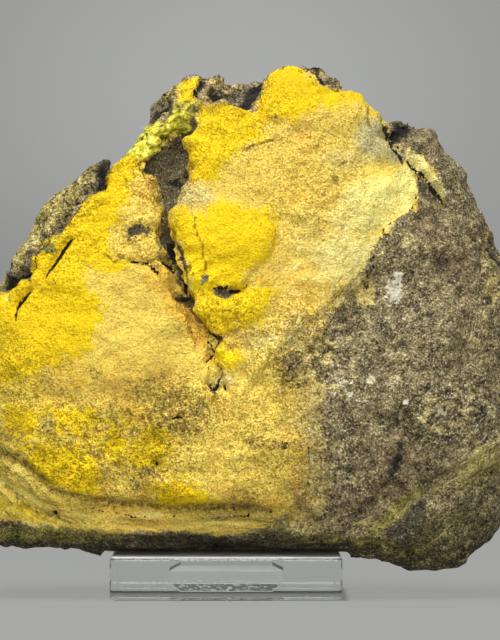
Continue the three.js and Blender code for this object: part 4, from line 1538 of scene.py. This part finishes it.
@dataclass
class SurfaceFinish:
    """Colours and relief that the rock and the crust share, so that they run on across the crust's edge."""

    palette: Palette = field(default_factory=Palette)
    grains: Tree = field(default_factory=grain_group)
    ragged: Tree = field(default_factory=ragged_group)
    mottle: Tree = field(default_factory=mottle_group)
    tuft_size: float = 1.3
    brightest: float = 0.95

    def build(self) -> Tree:
        """Makes the node group.

        Returns:
            Group with the surface's colour, roughness and relief.
        """
        graph = EffectGroup(
            "specimen_surface", {"Grain size": FLOAT},
            {"Colour": COLOUR, "Roughness": FLOAT, "Relief": FLOAT})
        self.graph = graph
        self.lay_noises()
        both = graph.total(((self.fine, 0.5), (self.broad, 0.5)))
        sand = self.use(self.grains, {
            "Place": self.place, "Grain size": graph.given["Grain size"], "Clumps": both}).outputs
        tufts = self.use(self.grains, {
            "Place": self.place, "Grain size": self.tuft_size, "Clumps": both}).outputs
        self.pit, self.speck = sand["Pit shade"], sand["Speck"]
        self.tuft, self.gap_shade = tufts["Shade"], tufts["Pit shade"]
        self.fading, self.coarse = graph.mark("fading"), graph.mark("coarse")
        reach = graph.total(((self.fading, 13.0), (1.0, 2.6)))
        bare = self.edge("bare", both, reach, graph.total(((self.fading, 4.4), (1.0, 0.3))))
        self.shade = graph.add("ShaderNodeMix", {
            0: bare, 2: self.crust_shade(sand["Shade"]), 3: self.rock_shade(sand["Shade"])},
            data_type="FLOAT").outputs[0]
        weight = graph.total(((self.coarse, 0.95), (bare, 0.3), (1.0, 0.4)))
        tufting = graph.times(tufts["Relief"], weight)
        return graph.put_out({
            "Colour": self.stain(graph.blend(bare, self.crust_colour(), self.rock_colour())),
            "Roughness": graph.total(((bare, -0.12), (1.0, 0.95))),
            "Relief": graph.total((
                (sand["Relief"], 0.4), (tufting, 1.0), (self.fine, 0.5), (self.broad, 0.9))),
        })

    def lay_noises(self) -> None:
        """Adds the place in millimetres and the noises that the colours share."""
        graph = self.graph
        self.place = graph.scaled(graph.place(), MM_IN_METRE)
        self.fine = graph.noise(self.place, 1.0, 3.0, 0.66)
        self.broad = graph.noise(self.place, 0.38, 4.0, 0.7)
        self.drift = graph.noise(self.place, 0.075, 3.0, 0.6)
        self.blotch = graph.noise(self.place, 0.19, 4.0, 0.68)

    def crust_shade(self, sand: Socket) -> Socket:
        """Gives the crust's shade, with less contrast where the crust is fine.

        Args:
            sand: Shade of the grains.

        Returns:
            The shade.
        """
        contrast = self.graph.total(((self.coarse, 0.58), (1.0, 0.42)))
        inputs = {0: self.graph.math("SUBTRACT", sand, 0.5), 1: contrast, 2: 0.5}
        return self.graph.add("ShaderNodeMath", inputs, operation="MULTIPLY_ADD").outputs[0]

    def rock_shade(self, sand: Socket) -> Socket:
        """Gives the rock's shade, with blotches and, where the rock is coarse, larger grains.

        Args:
            sand: Shade of the grains.

        Returns:
            The shade.
        """
        graph = self.graph
        weight = graph.total(((self.coarse, 0.6), (1.0, 0.1)))
        coarse_part = graph.times(graph.math("SUBTRACT", self.tuft, 0.5), weight)
        return graph.total((
            (sand, 0.86), (self.fine, 0.12), (self.broad, 0.18), (self.blotch, 0.19),
            (coarse_part, 0.8), (1.0, -0.175)))

    def use(self, tree: Tree, inputs: dict) -> bpy.types.Node:
        """Places one of the effects."""
        return self.graph.add("ShaderNodeGroup", inputs, node_tree=tree)

    def edge(self, mark: str, wander: Socket, reach: object, softness: object, weight: float = 1.0) -> Socket:
        """Gives the mask of an area with a ragged edge.

        Args:
            mark: Name of the mark that tells how far inside the area a place lies.
            wander: Noise that moves the edge.
            reach: How far the edge moves, in millimetres.
            softness: Half width of the edge in millimetres.
            weight: The mask's value inside the area.

        Returns:
            The mask.
        """
        inputs = {"Depth": self.graph.mark(mark), "Wander": wander, "Reach": reach, "Softness": softness}
        return self.graph.times(self.use(self.ragged, inputs).outputs["Mask"], weight)

    def mottled(self, strength: object, wander: Socket, softness: float, weight: float = 1.0) -> Socket:
        """Gives the mask of a mark that breaks up into mottles.

        Args:
            strength: Name of the mark, or a socket with its strength.
            wander: Noise that breaks it up.
            softness: How softly the mottles end.
            weight: The mask's value where the mark is full.

        Returns:
            The mask.
        """
        if isinstance(strength, str):
            strength = self.graph.mark(strength)
        inputs = {"Strength": strength, "Wander": wander, "Softness": softness}
        return self.graph.times(self.use(self.mottle, inputs).outputs["Mask"], weight)

    def covered(self, colour: Socket, *covers: tuple) -> Socket:
        """Lays covers over a colour, one after the other.

        Args:
            colour: Colour under them.
            covers: Each cover's mask and shades, and the value that picks among the shades where it isn't
                the surface's own shade.

        Returns:
            The colour with them.
        """
        for mask, shades, *shade in covers:
            picked = self.graph.ramp(shade[0] if shade else self.shade, shades)
            colour = self.graph.blend(mask, colour, picked)
        return colour

    def crust_colour(self) -> Socket:
        """Gives the colour of the crust.

        Returns:
            The colour.
        """
        graph, palette = self.graph, self.palette
        both = graph.total(((self.fine, 0.55), (self.broad, 0.45)))
        colour = self.covered(
            graph.ramp(self.shade, palette.cream),
            (graph.times(graph.step(self.drift, 0.4, 0.9), 0.7), palette.golden),
            (self.mottled("ochre", self.broad, 0.5, 0.9), palette.ochre),
            (self.mottled("primrose", self.broad, 0.9), palette.primrose),
            (graph.mark("grey_green"), palette.grey_green),
            (self.mottled("tufted", self.fine, 0.3), palette.tufted, self.tuft),
            (self.edge("bright", both, 7.0, 0.5), palette.bright),
            (self.mottled("speckle", self.fine, 0.35), palette.dirty))
        # painted shade between tufts and between grains
        gap_shades = graph.times(self.gap_shade, graph.times(self.coarse, 0.6))
        pits = graph.times(self.pit, graph.total(((self.coarse, 0.4), (1.0, 0.2))))
        return graph.blend(graph.math("MAXIMUM", gap_shades, pits), colour, linear(*palette.crust_pit))

    def rock_colour(self) -> Socket:
        """Gives the colour of the bare rock.

        Returns:
            The colour.
        """
        graph, palette = self.graph, self.palette
        both = graph.total(((self.fine, 0.45), (self.broad, 0.55)))
        rusty = graph.times(graph.step(self.drift, 0.5, 0.9), graph.mark("behind"), 0.8)
        buff = graph.math("MAXIMUM", graph.mark("buff"), rusty)
        stained = graph.math("MAXIMUM", graph.times(graph.mark("ochre"), 0.5), graph.times(self.fading, 0.5))
        warm = graph.step(graph.noise(self.place, 0.05, 3.0), 0.4, 0.9)
        colour = self.covered(
            graph.ramp(self.shade, palette.rock), (warm, palette.warm),
            (self.mottled(buff, self.broad, 0.7), palette.buff),
            (self.mottled(stained, self.fine, 0.8), palette.ochre),
            (self.mottled("dusted", both, 0.4, 0.85), palette.dusted))
        share = graph.total(((graph.mark("buff"), 0.4), (graph.mark("pale"), 0.6), (1.0, 0.1)))
        colour = graph.blend(graph.times(self.speck, share), colour, linear(*palette.speck))
        # painted shade between the rock's grains
        dark = graph.times(self.pit, graph.step(self.broad, 0.7, 0.2), 0.6)
        return graph.blend(dark, colour, linear(*palette.rock_pit))

    def stain(self, colour: Socket) -> Socket:
        """Adds what lies over rock and crust: pale dust, layers, olive and moss-like stains and cracks, with
        painted shade on the underside, in the grooves, in the deepest hollows and in the dark holes of the
        rock, and patches of painted light and shade.

        Args:
            colour: Colour under them.

        Returns:
            The colour with them.
        """
        graph, palette, fine, broad = self.graph, self.palette, self.fine, self.broad
        pale = self.mottled(graph.times(graph.mark("pale"), 0.85), fine, 0.5, 0.8)
        # painted shade on the underside and in the shaded spots
        shaded = self.mottled("shaded", broad, 0.9, 0.85)
        painted_shade = graph.math("MAXIMUM", self.edge("painted_shade", broad, 1.4, 0.8, 0.9), shaded)
        near = self.mottled(graph.times(graph.mark("near_hollow"), 0.62), fine, 0.35)
        # painted shadow, near-black, in the pitted spots and the deepest hollows
        pitted = self.mottled("pitted", fine, 0.35, 0.8)
        dark = graph.math("MAXIMUM", pitted, self.edge("dark", fine, 1.4, 0.25))
        colour = self.add_painted_light_and_shade(self.covered(
            self.layers(graph.blend(pale, colour, linear(*palette.pale))),
            (self.edge("wedge", fine, 2.2, 0.5, 0.88), palette.wedge),
            # painted shadow below the crust's overhanging edge, along the grooves
            (self.edge("groove_with_shade", fine, 2.0, 1.0, 0.75), palette.painted_shade),
            (painted_shade, palette.painted_shade),
            (self.mottled("olive", broad, 0.7, 0.85), palette.olive),
            (self.edge("olive_band", fine, 3.0, 0.9, 0.8), palette.band),
            (self.mottled("lichen", broad, 0.4), palette.lichen, self.tuft),
            (near, palette.dirty),
            (self.edge("hollow", fine, 1.4, 0.3), palette.hollow),
            (self.mottled("mossy", broad, 0.3), palette.mossy, self.tuft),
            (dark, palette.dark)))
        hair_crack = self.edge("hair_crack", fine, 0.4, 0.14, 0.75)
        colour = graph.blend(hair_crack, colour, linear(*palette.hair_crack))
        return graph.blend(self.edge("crack", fine, 0.35, 0.12), colour, linear(*palette.crack))

    def add_painted_light_and_shade(self, colour: Socket) -> Socket:
        """Makes a colour lighter or darker by the mark of painted light and shade, up to the brightest one.

        Args:
            colour: Colour to change.

        Returns:
            The changed colour.
        """
        # painted light and shade: the colour is scaled up or down by the mark
        painted_light_and_shade = self.graph.math("ADD", self.graph.mark("painted_light_and_shade"), 1.0)
        return self.graph.vector("MINIMUM", self.graph.scaled(colour, painted_light_and_shade), (self.brightest,) * 3)

    def layers(self, colour: Socket) -> Socket:
        """Adds the dark and light lines of the layered flanks.

        Args:
            colour: Colour under them.

        Returns:
            The colour with them.
        """
        graph, palette = self.graph, self.palette
        across, along, _ = graph.parts(self.place)
        lines = graph.add("ShaderNodeCombineXYZ", {
            0: graph.times(across, 0.09), 1: graph.times(along, 0.2), 2: graph.mark("layer")}).outputs[0]
        stripes = graph.noise(lines, 0.75, 5.0, 0.72)
        layered = graph.mark("layered")
        dark = graph.times(graph.step(stripes, 0.5, 0.15), layered, 0.95)
        light = graph.times(graph.step(stripes, 0.5, 0.8), layered, 0.8)
        return self.covered(colour, (dark, palette.lichen), (light, palette.primrose))


@dataclass(frozen=True)
class NaturalFinish:
    """Dull finish of the rock or the crust, its sizes in millimetres."""

    name: str
    grain_size: float
    bump_height: float
    bump_strength: float
    gloss: float

    def material(self, surface: Tree) -> bpy.types.Material:
        """Makes the material.

        Args:
            surface: The shared group of colours and relief.

        Returns:
            The material.
        """
        made, graph = new_material(self.name)
        look = graph.add("ShaderNodeGroup", node_tree=surface)
        look.inputs["Grain size"].default_value = self.grain_size
        bump = graph.add("ShaderNodeBump", {
            "Strength": self.bump_strength, "Distance": self.bump_height * MM,
            "Height": look.outputs["Relief"]})
        shader = graph.add("ShaderNodeBsdfPrincipled", {
            "Base Color": look.outputs["Colour"], "Roughness": look.outputs["Roughness"],
            "Normal": bump.outputs["Normal"], "Specular IOR Level": self.gloss})
        graph.add("ShaderNodeOutputMaterial", {"Surface": shader.outputs[0]})
        return made


@dataclass(frozen=True)
class AcrylicFinish:
    """Clear polished acrylic with a faint tint, brown dust along its front edge and a dull film on its top.

    The foot is the middle of the block's underside in metres. The half side, the height and the edges of the
    dust and the film, as far inside the block's own faces, are in millimetres.
    """

    foot: Triple
    half_side: float
    height: float
    ior: float = 1.49
    roughness: float = 0.03
    tint: Colour = (226, 230, 228)
    absorption: float = 12.0
    dust: Colour = (150, 130, 96)
    dust_from_front: Pair = (1.6, 0.5)
    dust_from_top: Pair = (1.0, 0.5)
    film: float = 0.75
    film_colour: Colour = (232, 231, 222)
    film_from_top: Pair = (0.4, 0.1)

    def material(self) -> bpy.types.Material:
        """Makes the material.

        Returns:
            The material.
        """
        made, graph = new_material("clear_acrylic")
        place = place_in_block(graph, self.foot)
        up = graph.parts(place)[2]
        shader = graph.add("ShaderNodeBsdfPrincipled", {
            "Base Color": graph.blend(self.dusting(graph, place), (1.0, 1.0, 1.0, 1.0), linear(*self.dust)),
            "Roughness": self.roughness, "IOR": self.ior, "Transmission Weight": 1.0})
        volume = graph.add("ShaderNodeVolumeAbsorption", {
            "Color": linear(*self.tint), "Density": self.absorption})
        film = graph.add("ShaderNodeBsdfPrincipled", {
            "Base Color": linear(*self.film_colour), "Roughness": 0.9, "Specular IOR Level": 0.2})
        outside = graph.math("SUBTRACT", self.film, graph.backfacing())
        start, end = self.film_from_top
        on_top = graph.times(graph.step(up, self.height - start, self.height - end), outside)
        to_a_light = graph.add("ShaderNodeLightPath").outputs["Is Shadow Ray"]
        passing = graph.add("ShaderNodeBsdfTransparent")
        surface = graph.mix_shaders(to_a_light, graph.mix_shaders(on_top, shader, film), passing)
        graph.add("ShaderNodeOutputMaterial", {"Surface": surface.outputs[0], "Volume": volume.outputs[0]})
        return made

    def dusting(self, graph: Graph, place: Socket) -> Socket:
        """Gives the mask of the specks of dust along the top's front edge.

        Args:
            graph: Graph that it goes into.
            place: Place in the block in millimetres.

        Returns:
            The mask.
        """
        _, along, up = graph.parts(place)
        back, front = self.dust_from_front
        start, end = self.dust_from_top
        specks = graph.step(graph.noise(place, 1.3, 2.0, 0.7), 0.6, 0.72)
        return graph.times(
            graph.step(along, back - self.half_side, front - self.half_side),
            graph.step(up, self.height - start, self.height - end), specks)


@dataclass(frozen=True)
class BevelReflectionFinish:
    """Painted reflections on the hollow's bevels, seen from the acrylic only: white for the light above, the
    lower ones with grey streaks of the table inside a white line.

    The foot is the middle of the block's underside in metres. The lower bevel's heights and the width of
    the line are in millimetres.
    """

    foot: Triple
    lower_bevel: Pair
    line: float = 0.3
    white: Colour = (250, 251, 250)
    grey: Colour = (128, 130, 128)

    def material(self) -> bpy.types.Material:
        """Makes the material.

        Returns:
            The material.
        """
        made, graph = new_material("bevel_painted_reflection")
        across, along, up = graph.parts(place_in_block(graph, self.foot))
        stretched = graph.add("ShaderNodeCombineXYZ", {
            0: graph.times(across, 0.3), 1: graph.times(along, 0.3), 2: up}).outputs[0]
        streaks = graph.noise(stretched, 2.4, 4.0, 0.75)
        sides = [graph.math("ABSOLUTE", side) for side in (across, along)]
        mitre = graph.math("ABSOLUTE", graph.math("SUBTRACT", *sides))
        bottom, top = self.lower_bevel
        inside = graph.times(
            graph.step(up, top, top - self.line), graph.step(up, bottom, bottom + self.line),
            graph.step(mitre, 0.0, 2 * self.line), graph.step(streaks, 0.25, 0.5))
        # painted reflection: white where the bevels would mirror the light above, grey streaks where the
        # lower ones would mirror the table
        shader = graph.add("ShaderNodeBsdfPrincipled", {
            "Base Color": graph.blend(inside, linear(*self.white), linear(*self.grey)),
            "Roughness": 0.6, "Specular IOR Level": 0.3})
        passing = graph.add("ShaderNodeBsdfTransparent")
        surface = graph.mix_shaders(graph.backfacing(), passing, shader)
        graph.add("ShaderNodeOutputMaterial", {"Surface": surface.outputs[0]})
        return made


def place_in_block(graph: Graph, foot: Triple) -> Socket:
    """Gives the place in millimetres from the middle of the block's underside.

    Args:
        graph: Graph that it goes into.
        foot: Middle of the underside in metres.

    Returns:
        The place.
    """
    return graph.scaled(graph.vector("SUBTRACT", graph.place(), foot), MM_IN_METRE)


# Stage


@dataclass(frozen=True)
class SoftLight:
    """Soft light that looks at the specimen; its place and size are in metres, its power in watts."""

    name: str
    place: Triple
    size: Pair
    power: float
    looks_at: Triple = (0.0, 0.0, 0.06)

    def build(self) -> None:
        """Makes the light."""
        data = bpy.data.lights.new(self.name, "AREA")
        data.shape = "RECTANGLE"
        data.size, data.size_y = self.size
        data.energy = self.power
        light = add_object(self.name, data)
        light.location = self.place
        direction = Vector(self.looks_at) - Vector(self.place)
        light.rotation_euler = direction.to_track_quat("-Z", "Y").to_euler()


@dataclass(frozen=True)
class Pool:
    """Soft round pool of light or shade on the sweep, its middle and reach in metres."""

    middle: Triple
    reach: float
    glow: float

    def mask(self, graph: Graph, place: Socket) -> Socket:
        """Gives the pool's mask.

        Args:
            graph: Graph that it goes into.
            place: Place on the sweep in metres.

        Returns:
            1 in its middle, falling to 0 at its edge.
        """
        inputs = {0: place, 1: self.middle}
        away = graph.add("ShaderNodeVectorMath", inputs, operation="DISTANCE").outputs["Value"]
        return graph.math("SUBTRACT", 1.0, graph.step(away, 0.0, self.reach))


@dataclass
class Studio:
    """Plain pale floor that runs up into a backdrop, and soft lights; its sizes are in metres."""

    width: float = 3.0
    floor_front: float = -1.6
    bend_start: float = 0.9
    bend_radius: float = 0.5
    height: float = 1.8
    bend_steps: int = 16
    floor_glow: float = 0.315
    wall_glow: float = 0.285
    wall_blend: float = 0.12
    block_shade: float = 0.15
    block_edge: Pair = (0.0262, 0.0246)
    pools: tuple[Pool, ...] = (Pool((0.0, 1.25, 0.16), 0.17, 0.1), Pool((-0.14, 1.12, 0.04), 0.14, -0.07))
    paper: Rgba = (0.05, 0.051, 0.05, 1.0)
    paper_glow: Rgba = (0.985, 1.0, 0.965, 1.0)
    sky: Rgba = (0.92, 0.94, 0.9, 1.0)
    sky_strength: float = 0.35
    lights: tuple[SoftLight, ...] = (
        SoftLight("top", (-0.1, -0.2, 0.75), (0.6, 0.5), 7.6),
        SoftLight("front", (0.1, -1.2, 0.36), (0.9, 0.6), 8.8),
    )

    def build(self) -> None:
        """Makes the sweep, the lights and the world."""
        self.build_sweep()
        for light in self.lights:
            light.build()
        world = bpy.data.worlds.new("studio")
        world.use_nodes = True
        background = world.node_tree.nodes["Background"]
        background.inputs["Color"].default_value = self.sky
        background.inputs["Strength"].default_value = self.sky_strength
        bpy.context.scene.world = world
        bpy.context.scene.view_settings.view_transform = "Standard"

    def build_sweep(self) -> None:
        """Makes the floor and backdrop as one curved sheet."""
        turns = [index / self.bend_steps * math.pi / 2 for index in range(self.bend_steps + 1)]
        line = [(self.floor_front, 0.0)]
        line += [(self.bend_start + self.bend_radius * math.sin(turn),
                  self.bend_radius * (1 - math.cos(turn))) for turn in turns]
        line.append((self.bend_start + self.bend_radius, self.height))
        points = [(side * self.width / 2, y, z) for y, z in line for side in (-1, 1)]
        faces = [(2 * i, 2 * i + 1, 2 * i + 3, 2 * i + 2) for i in range(len(line) - 1)]
        mesh = bpy.data.meshes.new("sweep")
        mesh.from_pydata(points, [], faces)
        mesh.shade_smooth()
        sweep = add_object("sweep", mesh)
        mesh.materials.append(self.sweep_material())

    def sweep_material(self) -> bpy.types.Material:
        """Makes the pale backlit paper of the sweep, which views from behind it look through.

        Returns:
            The material.
        """
        made, graph = new_material("pale_sweep")
        place = graph.place()
        x, y, height = graph.parts(place)
        outermost = graph.math("MAXIMUM", graph.math("ABSOLUTE", x), graph.math("ABSOLUTE", y))
        # painted shadow of the block: the floor glows less under its footprint
        under_block = graph.step(outermost, *self.block_edge)
        glow = graph.total((
            (graph.step(height, 0.0, self.wall_blend), self.wall_glow - self.floor_glow),
            *((pool.mask(graph, place), pool.glow) for pool in self.pools),
            (under_block, -self.block_shade), (1.0, self.floor_glow)))
        shader = graph.add("ShaderNodeBsdfPrincipled", {
            "Base Color": self.paper, "Roughness": 0.9, "Specular IOR Level": 0.0})
        emission = graph.add("ShaderNodeEmission", {"Color": self.paper_glow, "Strength": glow})
        both = graph.add("ShaderNodeAddShader", {0: shader.outputs[0], 1: emission.outputs[0]})
        clear = graph.add("ShaderNodeBsdfTransparent")
        surface = graph.mix_shaders(graph.backfacing(), both, clear)
        graph.add("ShaderNodeOutputMaterial", {"Surface": surface.outputs[0]})
        return made


def main() -> None:
    """Builds the specimen, its block and the studio, and reports each piece."""
    logging.basicConfig(level=logging.INFO, format="%(name)s: %(message)s")
    view = PhotoView()
    view.place_camera()
    natural = CrustAndRock(SpecimenSurface(view).build())
    log.info("surface of %d points", len(natural.surface.points))
    rock, crust = natural.build()
    natural.dress(rock, crust)
    display = DisplayBlock()
    block = display.build()
    display.dress(block)
    for piece in (rock, crust, block):
        log.info("%s: %d faces", piece.name, len(piece.data.polygons))
    Studio().build()


if __name__ == "__main__":
    main()
